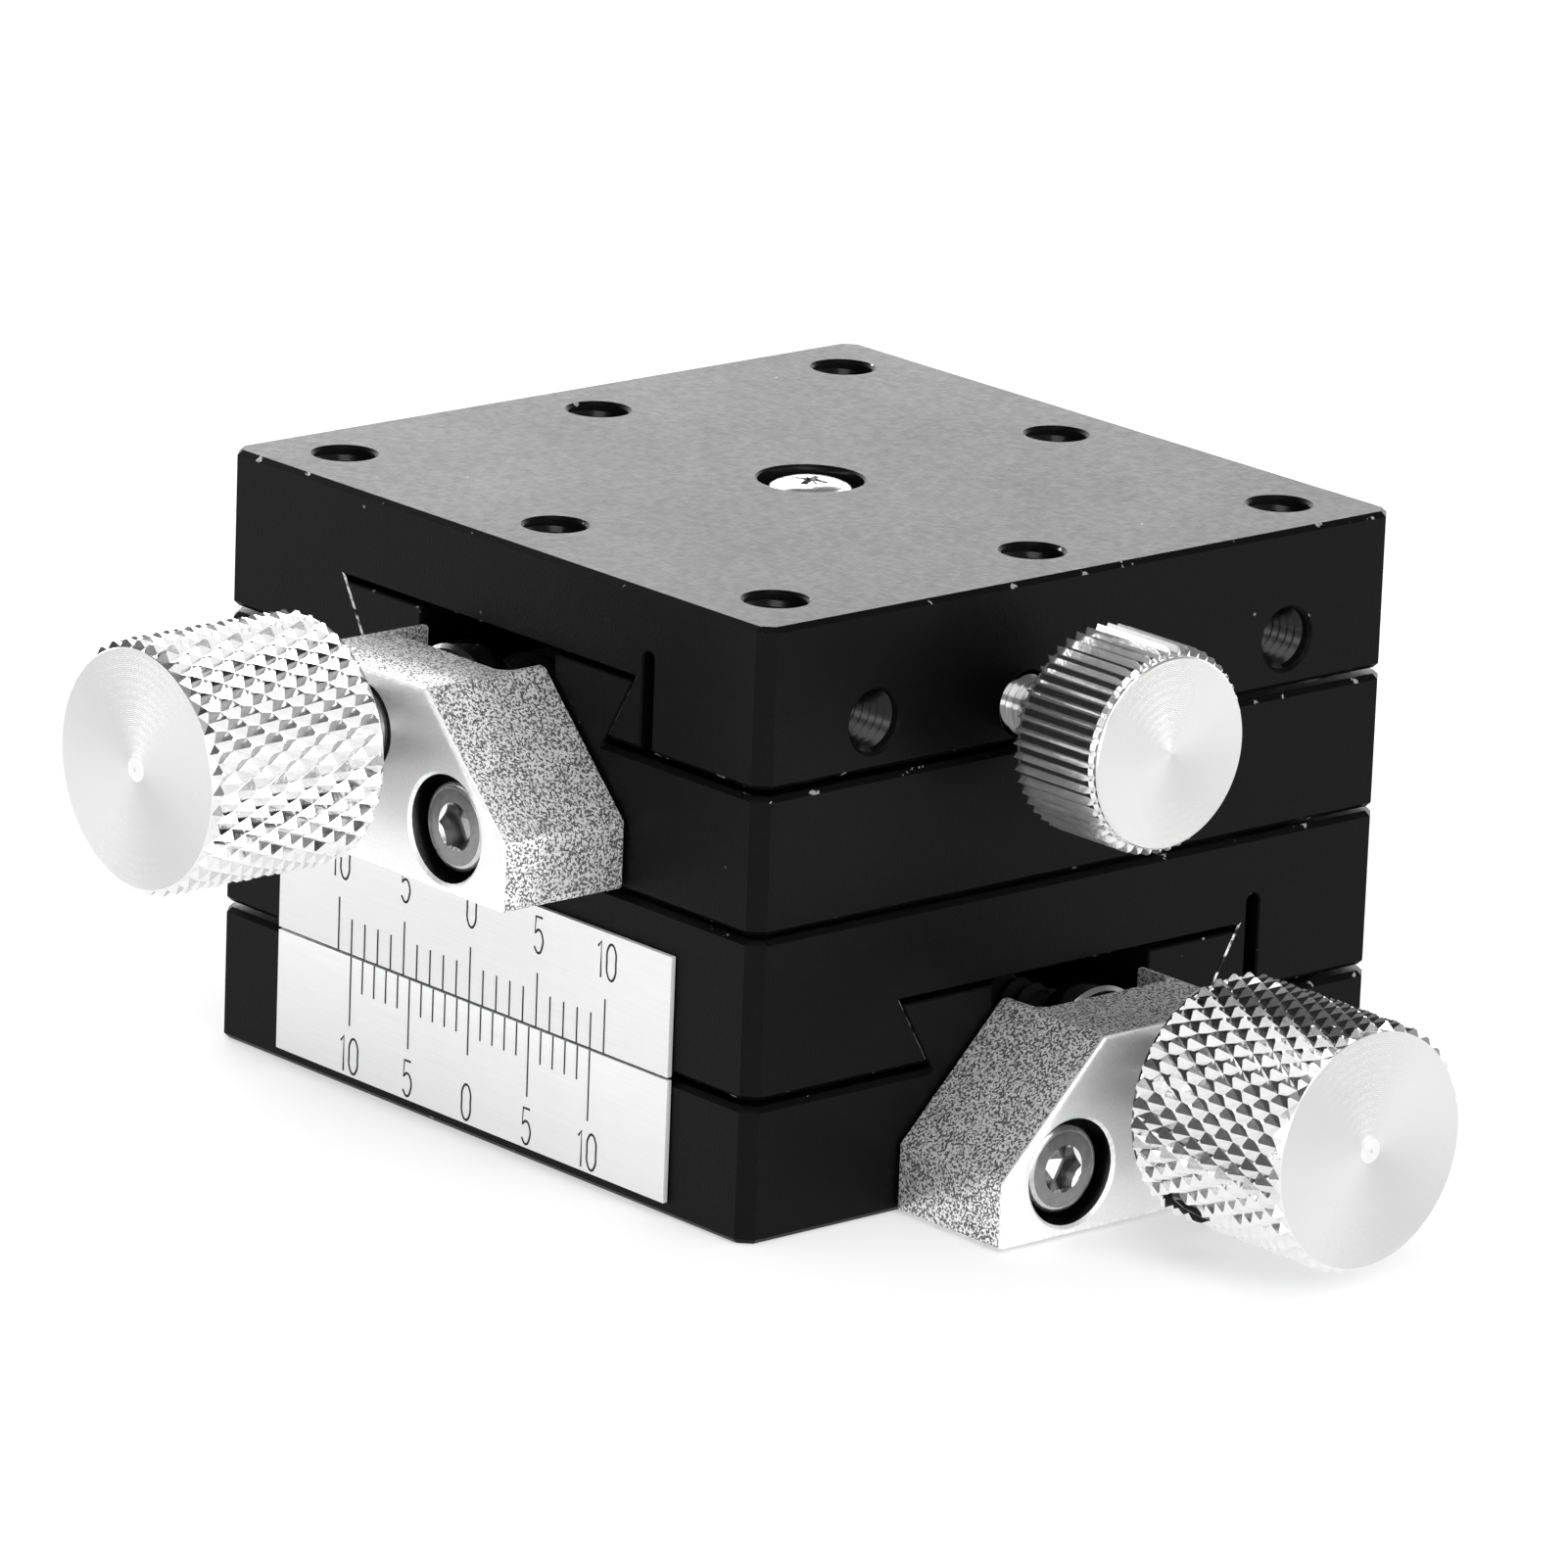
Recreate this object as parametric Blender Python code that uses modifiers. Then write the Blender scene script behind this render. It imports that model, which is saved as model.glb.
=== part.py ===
"""A manual two-axis stage: two equal dovetail stages, the upper one bolted on the lower one at a right angle.

All sizes are in metres. The origin is the middle of the lower base's underside, and +Z is up. Each stage is
built in its own frame: its table slides along Y, its knob stands at -Y, its lock screw at +X and its scale
plates at -X. The lower stage's frame is turned by a quarter, so that its knob stands at +X.
"""

import math

import bmesh
import bpy
from mathutils import Matrix, Vector

# Plates
PLATE_SIDE = 0.0400
PLATE_CORNER = 0.0010
PLATE_EDGE = 0.00025
BASE_THICK = 0.0067
ROOF_THICK = 0.0043
RUNNING_GAP = 0.0003
JOINT_GAP = 0.0002

# Dovetail, and the slit that leaves a thin wall as the gib
RAIL_HEIGHT = 0.0034
RAIL_TOP_GAP = 0.0004
ROOF_WIDTH = 0.02174
FLANK_GAP = 0.00017
FLANK_ANGLE = math.radians(60)
GIB_WALL = 0.00048
SLIT_WIDTH = 0.0008
SLIT_RISE = 0.0014

# Channel for the feed nut, round at its foot
CHANNEL_FLOOR = 0.0017

# Tapped grid in the table, and the bolt holes below it in the base
GRID_INSET = 0.0040
TAPPED_RADIUS = 0.00155
TAPPED_FLOOR = 0.0007
BOLT_HOLE_RADIUS = 0.0017
BOLT_SEAT_RADIUS = 0.0031
BOLT_SEAT_DEPTH = 0.0033

# Side holes for the gib screws and the lock screw
SIDE_HOLE_RADIUS = 0.0015
SIDE_HOLE_RISE = 0.0024
SIDE_HOLE_INSET = 0.0069
LOCK_OFFSET = 0.00365

# Feed screw
TRAVEL = 0.0100
SHAFT_RADIUS = 0.0020
SHAFT_GAP = 0.00015
COLLAR_RADIUS = 0.0031
COLLAR_THICK = 0.0019
COLLAR_GAP = 0.0003
SCREW_OVERRUN = 0.0020
SCREW_CHAMFER = 0.0004

# Feed nut
NUT_LENGTH = 0.0090
NUT_GAP = 0.0004

# Bracket
BRACKET_THICK = 0.0074
BRACKET_WIDTH = 0.0213
BRACKET_LIFT = 0.00015
BRACKET_RISE = 0.00285
BRACKET_EDGE = 0.0003
POCKET_GAP = 0.00115
POCKET_WALL = 0.0003
POCKET_DEPTH = 0.0024
POCKET_CORNER = 0.0008

# Knob
KNOB_LENGTH = 0.0102
KNOB_CLEARANCE = 0.0007
KNOB_FLOOR_GAP = 0.0006
KNOB_FRONT_CHAMFER = 0.00045
KNOB_REAR_CHAMFER = 0.0003
KNOB_FRONT_WALL = 0.0020
KNOB_TIP_RADIUS = 0.0008
KNOB_TIP_HEIGHT = 0.00015
KNOB_SCREW_SHARE = 0.196
KNOB_SCREW_SINK = 0.0005
KNURL_DEPTH = 0.0004
KNURL_COLUMNS = 38
KNURL_ROWS = 5

# Lock screw's fluted head
LOCK_STANDOFF = 0.0044
LOCK_KNOB_RADIUS = 0.0050
LOCK_KNOB_LENGTH = 0.0056
LOCK_FLUTE_DEPTH = 0.0004
LOCK_FLUTES = 48
LOCK_RIM = 0.0004
LOCK_RIM_CHAMFER = 0.0002
LOCK_BORE_DEPTH = 0.0040
LOCK_STEM_GAP = 0.00015

# Cap screws, set screws and the pan screw
BRACKET_SCREW_INSET = 0.0043
BRACKET_SCREW_RISE = 0.00305
BRACKET_SCREW_HEAD_RADIUS = 0.0022
BRACKET_SCREW_HEAD_HEIGHT = 0.0025
BRACKET_SCREW_CORE = 0.0010
BRACKET_SCREW_GRIP = 0.0050
BRACKET_SCREW_SINK = 0.00055
BRACKET_SCREW_SOCKET = 0.0020
JOINING_SCREW_HEAD_RADIUS = 0.00275
JOINING_SCREW_HEAD_HEIGHT = 0.0028
JOINING_SCREW_CORE = 0.00125
JOINING_SCREW_SOCKET = 0.0025
SET_SCREW_CORE = 0.00125
SET_SCREW_SOCKET = 0.0015
GIB_SCREW_LENGTH = 0.0040
PAN_HEAD_RADIUS = 0.00205
PAN_HEAD_HEIGHT = 0.0016
PAN_HEAD_CROWN = 0.00025
PAN_SEAT_RADIUS = 0.0026
PAN_SEAT_DEPTH = 0.00175
PAN_CORE = 0.0008
PAN_CROSS_WIDTH = 0.0005
PAN_CROSS_LENGTH = 0.0023
PAN_CROSS_DEPTH = 0.0008
HEAD_CHAMFER = 0.0003
TIP_CHAMFER = 0.0002
SOCKET_SHARE = 0.5

# Scale plates
SCALE_WIDTH = 0.0293
SCALE_SHIFT = 0.00013
SCALE_THICK = 0.0003
SCALE_GLUE = 0.00005
SCALE_HEIGHT = 0.0059
SCALE_SPLIT = 0.00014
VERNIER_RISE = 0.00075

# Gaps: between flat faces that rest on each other, round a thread, and below a thread's tip
SEAT_GAP = 0.0001
THREAD_GAP = 0.00025
TIP_GAP = 0.0004

# How far a cutter runs past the surface that it cuts, and how deep a joined shape reaches into the other
OVERRUN = 0.001

SMALL_SIDES = 16
HOLE_SIDES = 20
SHAFT_SIDES = 24
ARC_STEPS = 8
HEXAGON = 6
SHARP = math.radians(40)
RIM_ANGLE = math.radians(60)
ROUND = 0.5
QUARTER = math.pi / 2
LOWER_KNOB_TURN = math.radians(-120)
UPPER_KNOB_TURN = math.radians(200)
MERGE = 0.000001

HALF_SIDE = PLATE_SIDE / 2
RAIL_TOP = BASE_THICK + RAIL_HEIGHT
ROOF = RAIL_TOP + RAIL_TOP_GAP
TABLE_FOOT = BASE_THICK + RUNNING_GAP
TABLE_TOP = ROOF + ROOF_THICK
STAGE_PITCH = TABLE_TOP + JOINT_GAP
FEED_HEIGHT = BASE_THICK
GRID = HALF_SIDE - GRID_INSET
TAPPED_DEPTH = ROOF_THICK - TAPPED_FLOOR
CHANNEL_HALF = FEED_HEIGHT - CHANNEL_FLOOR
SLIT_INNER = ROOF_WIDTH / 2 + GIB_WALL
SLIT_MIDDLE = SLIT_INNER + SLIT_WIDTH / 2
LOCK_HEIGHT = (TABLE_FOOT + ROOF) / 2
SIDE_HOLE_PLACE = HALF_SIDE - SIDE_HOLE_INSET
BRACKET_FRONT = SEAT_GAP + BRACKET_THICK
BRACKET_TOP = FEED_HEIGHT + BRACKET_RISE
BRACKET_SCREW_X = BRACKET_WIDTH / 2 - BRACKET_SCREW_INSET
BRACKET_SCREW_Z = BRACKET_LIFT + BRACKET_SCREW_RISE
BRACKET_SEAT = BRACKET_FRONT - BRACKET_SCREW_SINK - BRACKET_SCREW_HEAD_HEIGHT - SEAT_GAP
POCKET_HALF = COLLAR_RADIUS + POCKET_GAP
KNOB_RADIUS = FEED_HEIGHT - KNOB_FLOOR_GAP
KNOB_STANDOFF = TRAVEL + KNOB_CLEARANCE
KNOB_SCREW_PLACE = KNOB_LENGTH * KNOB_SCREW_SHARE
KNOB_BORE_RADIUS = SHAFT_RADIUS + SHAFT_GAP
KNOB_BORE_DEPTH = KNOB_LENGTH - KNOB_FRONT_WALL
LOCK_STEM_RADIUS = SIDE_HOLE_RADIUS
PAN_SEAT = TABLE_TOP - PAN_SEAT_DEPTH
SPLIT_HEIGHT = BASE_THICK + RUNNING_GAP / 2

parts = bpy.data.collections.new("two_axis_stage")
cutters = bpy.data.collections.new("cutters")


class Stage:
    """One stage: the start of its pieces' names, and the empty that holds its frame."""

    def __init__(self, name, turn, height, knob_turn):
        self.name = name
        self.knob_turn = knob_turn
        self.frame = bpy.data.objects.new(name + "_frame", None)
        self.frame.rotation_euler.z = turn
        self.frame.location.z = height
        parts.objects.link(self.frame)


def start():
    for old in list(bpy.data.objects):
        bpy.data.objects.remove(old)
    cutters.hide_render = True
    for collection in (parts, cutters):
        bpy.context.scene.collection.children.link(collection)


def finish(name, colour, metallic, roughness):
    material = bpy.data.materials.new(name)
    material.use_nodes = True
    shader = material.node_tree.nodes["Principled BSDF"]
    shader.inputs["Base Color"].default_value = (*colour, 1)
    shader.inputs["Metallic"].default_value = metallic
    shader.inputs["Roughness"].default_value = roughness
    material.diffuse_color = (*colour, 1)
    material.metallic = metallic
    material.roughness = roughness
    return material


def mesh_of(name, shape):
    """The bmesh as a mesh, shaded smooth up to its sharp edges."""
    bmesh.ops.recalc_face_normals(shape, faces=shape.faces)
    mesh = bpy.data.meshes.new(name)
    shape.to_mesh(mesh)
    shape.free()
    mesh.shade_smooth()
    mesh.set_sharp_from_angle(angle=SHARP)
    return mesh


def piece(stage, name, mesh, material):
    """A sub-part's object, in its stage's frame."""
    made = bpy.data.objects.new(stage.name + "_" + name, mesh)
    mesh.materials.append(material)
    made.parent = stage.frame
    parts.objects.link(made)
    return made


def cutter(body, name, mesh):
    """A helper object that follows the body, kept out of the render."""
    made = bpy.data.objects.new(body.name + "_" + name, mesh)
    made.parent = body
    made.hide_render = True
    made.display_type = "WIRE"
    cutters.objects.link(made)
    return made


def combine(body, name, mesh, operation="DIFFERENCE"):
    change = body.modifiers.new(name, "BOOLEAN")
    change.operation = operation
    change.solver = "EXACT"
    change.object = cutter(body, name, mesh)


def break_edges(body, width, angle):
    """Chamfers the edges that are sharper than the angle."""
    change = body.modifiers.new("edges", "BEVEL")
    change.width = width
    change.segments = 1
    change.limit_method = "ANGLE"
    change.angle_limit = angle


def add_box(shape, low, high):
    low = Vector(low)
    high = Vector(high)
    place = Matrix.Translation((low + high) / 2) @ Matrix.Diagonal((*(high - low), 1))
    bmesh.ops.create_cube(shape, size=1, matrix=place)


def add_cylinder(shape, radius, start_point, end_point, sides):
    start_point = Vector(start_point)
    end_point = Vector(end_point)
    run = end_point - start_point
    turn = run.to_track_quat("Z", "Y").to_matrix().to_4x4()
    bmesh.ops.create_cone(
        shape,
        cap_ends=True,
        segments=sides,
        radius1=radius,
        radius2=radius,
        depth=run.length,
        matrix=Matrix.Translation((start_point + end_point) / 2) @ turn,
    )


def box(name, low, high):
    shape = bmesh.new()
    add_box(shape, low, high)
    return mesh_of(name, shape)


def bores(body, name, radius, spans, sides=SMALL_SIDES):
    """Cuts round holes of one radius, each from one point to another."""
    shape = bmesh.new()
    for start_point, end_point in spans:
        add_cylinder(shape, radius, start_point, end_point, sides)
    combine(body, name, mesh_of(name, shape))


def hexagon_socket(body, across_flats, top, depth):
    corner_radius = across_flats / 2 / math.cos(math.pi / HEXAGON)
    spans = [((0, 0, top + OVERRUN), (0, 0, top - depth))]
    bores(body, "socket", corner_radius, spans, HEXAGON)


def arc(centre_x, centre_z, radius, first, last):
    """Points along an arc in the X-Z plane, its ends included."""
    points = []
    for step in range(ARC_STEPS + 1):
        angle = first + (last - first) * step / ARC_STEPS
        points.append((centre_x + radius * math.cos(angle), centre_z + radius * math.sin(angle)))
    return points


def prism(name, outline, low_y, high_y):
    """An outline in X and Z, drawn out along Y."""
    drawn = bpy.data.curves.new(name, "CURVE")
    drawn.dimensions = "2D"
    drawn.fill_mode = "BOTH"
    drawn.extrude = (high_y - low_y) / 2
    line = drawn.splines.new("POLY")
    line.points.add(len(outline) - 1)
    for point, (x, z) in zip(line.points, outline):
        point.co = (x, z, 0, 1)
    line.use_cyclic_u = True
    guide = bpy.data.objects.new(name, drawn)
    cutters.objects.link(guide)
    raised = bpy.data.meshes.new_from_object(guide.evaluated_get(bpy.context.evaluated_depsgraph_get()))
    bpy.data.objects.remove(guide)
    bpy.data.curves.remove(drawn)
    shape = bmesh.new()
    shape.from_mesh(raised)
    bpy.data.meshes.remove(raised)
    bmesh.ops.remove_doubles(shape, verts=shape.verts, dist=MERGE)
    turn = Matrix.Translation((0, (low_y + high_y) / 2, 0)) @ Matrix.Rotation(QUARTER, 4, "X")
    bmesh.ops.transform(shape, matrix=turn, verts=shape.verts)
    return mesh_of(name, shape)


def turned(stage, name, profile, sides, material):
    """A piece turned about its own Z, from a profile of (radius, height) that runs from axis to axis."""
    mesh = bpy.data.meshes.new(name)
    points = [(radius, 0, height) for radius, height in profile]
    mesh.from_pydata(points, [(i, i + 1) for i in range(len(points) - 1)], [])
    made = piece(stage, name, mesh, material)
    spin = made.modifiers.new("turn", "SCREW")
    spin.steps = sides
    spin.render_steps = sides
    spin.use_merge_vertices = True
    spin.merge_threshold = MERGE
    return made


def put(made, place, facing, spin=0):
    """Turns a piece about its own Z, then faces that "front" (-Y), "side" (+X) or "up"."""
    facings = {
        "front": Matrix.Rotation(QUARTER, 4, "X"),
        "side": Matrix.Rotation(QUARTER, 4, "Y"),
        "up": Matrix.Identity(4),
    }
    made.matrix_basis = Matrix.Translation(place) @ facings[facing] @ Matrix.Rotation(spin, 4, "Z")


def groove_half_width(height):
    """Half the dovetail groove's width at a height, between its slanted flanks."""
    return ROOF_WIDTH / 2 - (ROOF - height) / math.tan(FLANK_ANGLE)


def rail_half_width(height):
    return groove_half_width(height) - FLANK_GAP


def plate_mesh(name, foot, top):
    """A square plate with its upright corners cut off."""
    shape = bmesh.new()
    add_box(shape, (-HALF_SIDE, -HALF_SIDE, foot), (HALF_SIDE, HALF_SIDE, top))
    upright = [edge for edge in shape.edges if edge.verts[0].co.xy == edge.verts[1].co.xy]
    bmesh.ops.bevel(
        shape, geom=upright, offset=PLATE_CORNER, offset_type="WIDTH", segments=1, affect="EDGES"
    )
    return mesh_of(name, shape)


def corners(distance):
    return [(x, y) for x in (-distance, distance) for y in (-distance, distance)]


def base(stage, material):
    made = piece(stage, "base", plate_mesh("base", 0, BASE_THICK), material)
    break_edges(made, PLATE_EDGE, RIM_ANGLE)
    foot_half = rail_half_width(BASE_THICK)
    top_half = rail_half_width(RAIL_TOP)
    rail = [
        (-foot_half, BASE_THICK - OVERRUN),
        (foot_half, BASE_THICK - OVERRUN),
        (foot_half, BASE_THICK),
        (top_half, RAIL_TOP),
        (-top_half, RAIL_TOP),
        (-foot_half, BASE_THICK),
    ]
    combine(made, "rail", prism("rail", rail, -HALF_SIDE, HALF_SIDE), "UNION")
    channel = arc(0, FEED_HEIGHT, CHANNEL_HALF, math.pi, 2 * math.pi)
    channel += [(CHANNEL_HALF, RAIL_TOP + OVERRUN), (-CHANNEL_HALF, RAIL_TOP + OVERRUN)]
    far = HALF_SIDE + OVERRUN
    combine(made, "channel", prism("channel", channel, -far, far))
    seat = BASE_THICK - BOLT_SEAT_DEPTH
    grid = corners(GRID)
    bores(made, "seats", BOLT_SEAT_RADIUS, [((x, y, BASE_THICK + OVERRUN), (x, y, seat)) for x, y in grid])
    bores(made, "bolt_holes", BOLT_HOLE_RADIUS, [((x, y, seat + OVERRUN), (x, y, -OVERRUN)) for x, y in grid])
    inner = -HALF_SIDE + BRACKET_SCREW_GRIP
    tapped = [
        ((x, -far, BRACKET_SCREW_Z), (x, inner, BRACKET_SCREW_Z)) for x in (-BRACKET_SCREW_X, BRACKET_SCREW_X)
    ]
    bores(made, "bracket_threads", BRACKET_SCREW_CORE + THREAD_GAP, tapped)


def table(stage, material):
    made = piece(stage, "table", plate_mesh("table", TABLE_FOOT, TABLE_TOP), material)
    break_edges(made, PLATE_EDGE, RIM_ANGLE)
    far = HALF_SIDE + OVERRUN
    below = TABLE_FOOT - OVERRUN
    foot_half = groove_half_width(below)
    roof_half = groove_half_width(ROOF)
    groove = [(-foot_half, below), (foot_half, below), (roof_half, ROOF), (-roof_half, ROOF)]
    combine(made, "groove", prism("groove", groove, -far, far))
    slit_radius = SLIT_WIDTH / 2
    slit = arc(SLIT_MIDDLE, ROOF + SLIT_RISE - slit_radius, slit_radius, 0, math.pi)
    slit += [(SLIT_INNER, below), (SLIT_INNER + SLIT_WIDTH, below)]
    combine(made, "slit", prism("slit", slit, -far, far))
    sites = [(x, y) for x in (-GRID, 0, GRID) for y in (-GRID, 0, GRID) if (x, y) != (0, 0)]
    high = TABLE_TOP + OVERRUN
    floor = TABLE_TOP - TAPPED_DEPTH
    bores(made, "grid", TAPPED_RADIUS, [((x, y, high), (x, y, floor)) for x, y in sites])
    bores(made, "pan_seat", PAN_SEAT_RADIUS, [((0, 0, high), (0, 0, PAN_SEAT))], HOLE_SIDES)
    pan_hole = [((0, 0, PAN_SEAT + OVERRUN), (0, 0, ROOF - OVERRUN))]
    bores(made, "pan_hole", PAN_CORE + THREAD_GAP, pan_hole)
    side_height = TABLE_FOOT + SIDE_HOLE_RISE
    side = [
        ((far, y, side_height), (SLIT_MIDDLE, y, side_height)) for y in (-SIDE_HOLE_PLACE, SIDE_HOLE_PLACE)
    ]
    bores(made, "side_holes", SIDE_HOLE_RADIUS, side)
    lock = [((far, -LOCK_OFFSET, LOCK_HEIGHT), (SLIT_MIDDLE, -LOCK_OFFSET, LOCK_HEIGHT))]
    bores(made, "lock_hole", LOCK_STEM_RADIUS + LOCK_STEM_GAP, lock)


def bracket(stage, material):
    half = BRACKET_WIDTH / 2
    top_half = POCKET_HALF + POCKET_WALL
    shoulder = BRACKET_TOP - (half - top_half)
    outline = [
        (-half, BRACKET_LIFT),
        (half, BRACKET_LIFT),
        (half, shoulder),
        (top_half, BRACKET_TOP),
        (-top_half, BRACKET_TOP),
        (-half, shoulder),
    ]
    rear = -HALF_SIDE - SEAT_GAP
    front = -HALF_SIDE - BRACKET_FRONT
    made = piece(stage, "bracket", prism("bracket", outline, front, rear), material)
    break_edges(made, BRACKET_EDGE, SHARP)
    shape = bmesh.new()
    pocket_foot = FEED_HEIGHT - COLLAR_RADIUS - COLLAR_GAP
    pocket_front = rear - POCKET_DEPTH
    low = (-POCKET_HALF, pocket_front, pocket_foot)
    high = (POCKET_HALF, rear + OVERRUN, BRACKET_TOP + OVERRUN)
    add_box(shape, low, high)
    upright = [
        edge
        for edge in shape.edges
        if edge.verts[0].co.xy == edge.verts[1].co.xy and edge.verts[0].co.y < rear
    ]
    bmesh.ops.bevel(
        shape, geom=upright, offset=POCKET_CORNER, segments=ARC_STEPS // 2, profile=ROUND, affect="EDGES"
    )
    combine(made, "pocket", mesh_of("pocket", shape))
    bore = [((0, front - OVERRUN, FEED_HEIGHT), (0, rear + OVERRUN, FEED_HEIGHT))]
    bores(made, "bore", SHAFT_RADIUS + SHAFT_GAP, bore, SHAFT_SIDES)
    sites = (-BRACKET_SCREW_X, BRACKET_SCREW_X)
    seat = -HALF_SIDE - BRACKET_SEAT
    seats = [((x, front - OVERRUN, BRACKET_SCREW_Z), (x, seat, BRACKET_SCREW_Z)) for x in sites]
    holes = [((x, seat - OVERRUN, BRACKET_SCREW_Z), (x, rear + OVERRUN, BRACKET_SCREW_Z)) for x in sites]
    bores(made, "screw_seats", BRACKET_SCREW_HEAD_RADIUS + TIP_GAP, seats, HOLE_SIDES)
    bores(made, "screw_holes", BRACKET_SCREW_CORE + THREAD_GAP, holes)


def cap_screw(stage, name, head_radius, head_height, core, reach, socket, material):
    """A socket cap screw, its head's seat at height 0 and its tip at -reach."""
    profile = [
        (0, head_height),
        (head_radius - HEAD_CHAMFER, head_height),
        (head_radius, head_height - HEAD_CHAMFER),
        (head_radius, 0),
        (core, 0),
        (core, TIP_CHAMFER - reach),
        (core - TIP_CHAMFER, -reach),
        (0, -reach),
    ]
    made = turned(stage, name, profile, SMALL_SIDES, material)
    hexagon_socket(made, socket, head_height, head_height * SOCKET_SHARE)
    return made


def set_screw(stage, name, length, material):
    """A grub screw, its tip at height 0 and its socket at the other end."""
    profile = [
        (0, length),
        (SET_SCREW_CORE - TIP_CHAMFER, length),
        (SET_SCREW_CORE, length - TIP_CHAMFER),
        (SET_SCREW_CORE, TIP_CHAMFER),
        (SET_SCREW_CORE - TIP_CHAMFER, 0),
        (0, 0),
    ]
    made = turned(stage, name, profile, SMALL_SIDES, material)
    hexagon_socket(made, SET_SCREW_SOCKET, length, length * SOCKET_SHARE)
    return made


def bracket_screws(stage, material):
    reach = BRACKET_SEAT + SEAT_GAP + BRACKET_SCREW_GRIP - TIP_GAP
    for name, x in (("left", -BRACKET_SCREW_X), ("right", BRACKET_SCREW_X)):
        made = cap_screw(
            stage,
            "bracket_screw_" + name,
            BRACKET_SCREW_HEAD_RADIUS,
            BRACKET_SCREW_HEAD_HEIGHT,
            BRACKET_SCREW_CORE,
            reach,
            BRACKET_SCREW_SOCKET,
            material,
        )
        put(made, (x, -HALF_SIDE - BRACKET_SEAT - SEAT_GAP, BRACKET_SCREW_Z), "front")


def feed_screw(stage, material):
    """The shaft runs from inside the knob, through the bracket, to past the nut's last place."""
    knob_end = KNOB_STANDOFF + KNOB_BORE_DEPTH - TIP_GAP
    collar_front = COLLAR_GAP + COLLAR_THICK
    tip = -(HALF_SIDE + TRAVEL + NUT_LENGTH / 2 + SCREW_OVERRUN)
    profile = [
        (0, knob_end),
        (SHAFT_RADIUS - SCREW_CHAMFER, knob_end),
        (SHAFT_RADIUS, knob_end - SCREW_CHAMFER),
        (SHAFT_RADIUS, collar_front),
        (COLLAR_RADIUS - TIP_CHAMFER, collar_front),
        (COLLAR_RADIUS, collar_front - TIP_CHAMFER),
        (COLLAR_RADIUS, COLLAR_GAP + TIP_CHAMFER),
        (COLLAR_RADIUS - TIP_CHAMFER, COLLAR_GAP),
        (SHAFT_RADIUS, COLLAR_GAP),
        (SHAFT_RADIUS, tip + SCREW_CHAMFER),
        (SHAFT_RADIUS - SCREW_CHAMFER, tip),
        (0, tip),
    ]
    made = turned(stage, "feed_screw", profile, SHAFT_SIDES, material)
    put(made, (0, -HALF_SIDE, FEED_HEIGHT), "front")


def feed_nut(stage, material):
    """The nut block hangs in the channel, below the table's roof."""
    half = CHANNEL_HALF - NUT_GAP
    top = ROOF - SEAT_GAP
    outline = arc(0, FEED_HEIGHT, half, math.pi, 2 * math.pi) + [(half, top), (-half, top)]
    half_length = NUT_LENGTH / 2
    made = piece(stage, "feed_nut", prism("feed_nut", outline, -half_length, half_length), material)
    through = half_length + OVERRUN
    bore = [((0, -through, FEED_HEIGHT), (0, through, FEED_HEIGHT))]
    bores(made, "feed_bore", SHAFT_RADIUS + SHAFT_GAP, bore, SHAFT_SIDES)
    bores(made, "pan_thread", PAN_CORE + THREAD_GAP, [((0, 0, top + OVERRUN), (0, 0, FEED_HEIGHT))])


def nut_screw(stage, material):
    """A pan screw with a cross recess. Its seat is at height 0."""
    tip = -(PAN_SEAT + SEAT_GAP - FEED_HEIGHT - SHAFT_RADIUS - TIP_GAP)
    rim = PAN_HEAD_HEIGHT - PAN_HEAD_CROWN
    profile = [(0, PAN_HEAD_HEIGHT)]
    for step in range(1, ARC_STEPS // 2 + 1):
        angle = QUARTER * step / (ARC_STEPS // 2)
        profile.append((PAN_HEAD_RADIUS * math.sin(angle), rim + PAN_HEAD_CROWN * math.cos(angle)))
    profile += [(PAN_HEAD_RADIUS, 0), (PAN_CORE, 0), (PAN_CORE, tip), (0, tip)]
    made = turned(stage, "nut_screw", profile, HOLE_SIDES, material)
    put(made, (0, 0, PAN_SEAT + SEAT_GAP), "up")
    half_width = PAN_CROSS_WIDTH / 2
    half_length = PAN_CROSS_LENGTH / 2
    low = PAN_HEAD_HEIGHT - PAN_CROSS_DEPTH
    high = PAN_HEAD_HEIGHT + OVERRUN
    for name, x, y in (("slot_x", half_length, half_width), ("slot_y", half_width, half_length)):
        combine(made, name, box(name, (-x, -y, low), (x, y, high)))


def knob_rings():
    """Each ring's height, its radius, and how far every other point of it is drawn in."""
    front = KNOB_LENGTH - KNOB_TIP_HEIGHT
    knurl_length = front - KNOB_FRONT_CHAMFER - KNOB_REAR_CHAMFER
    steps = 2 * KNURL_ROWS
    rings = [(0, KNOB_BORE_RADIUS, 0), (0, KNOB_RADIUS - KNOB_REAR_CHAMFER, 0)]
    for step in range(steps + 1):
        rings.append((KNOB_REAR_CHAMFER + knurl_length * step / steps, KNOB_RADIUS, KNURL_DEPTH))
    rings += [(front, KNOB_RADIUS - KNOB_FRONT_CHAMFER, 0), (front, KNOB_TIP_RADIUS, 0), (KNOB_LENGTH, 0, 0)]
    return rings


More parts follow.
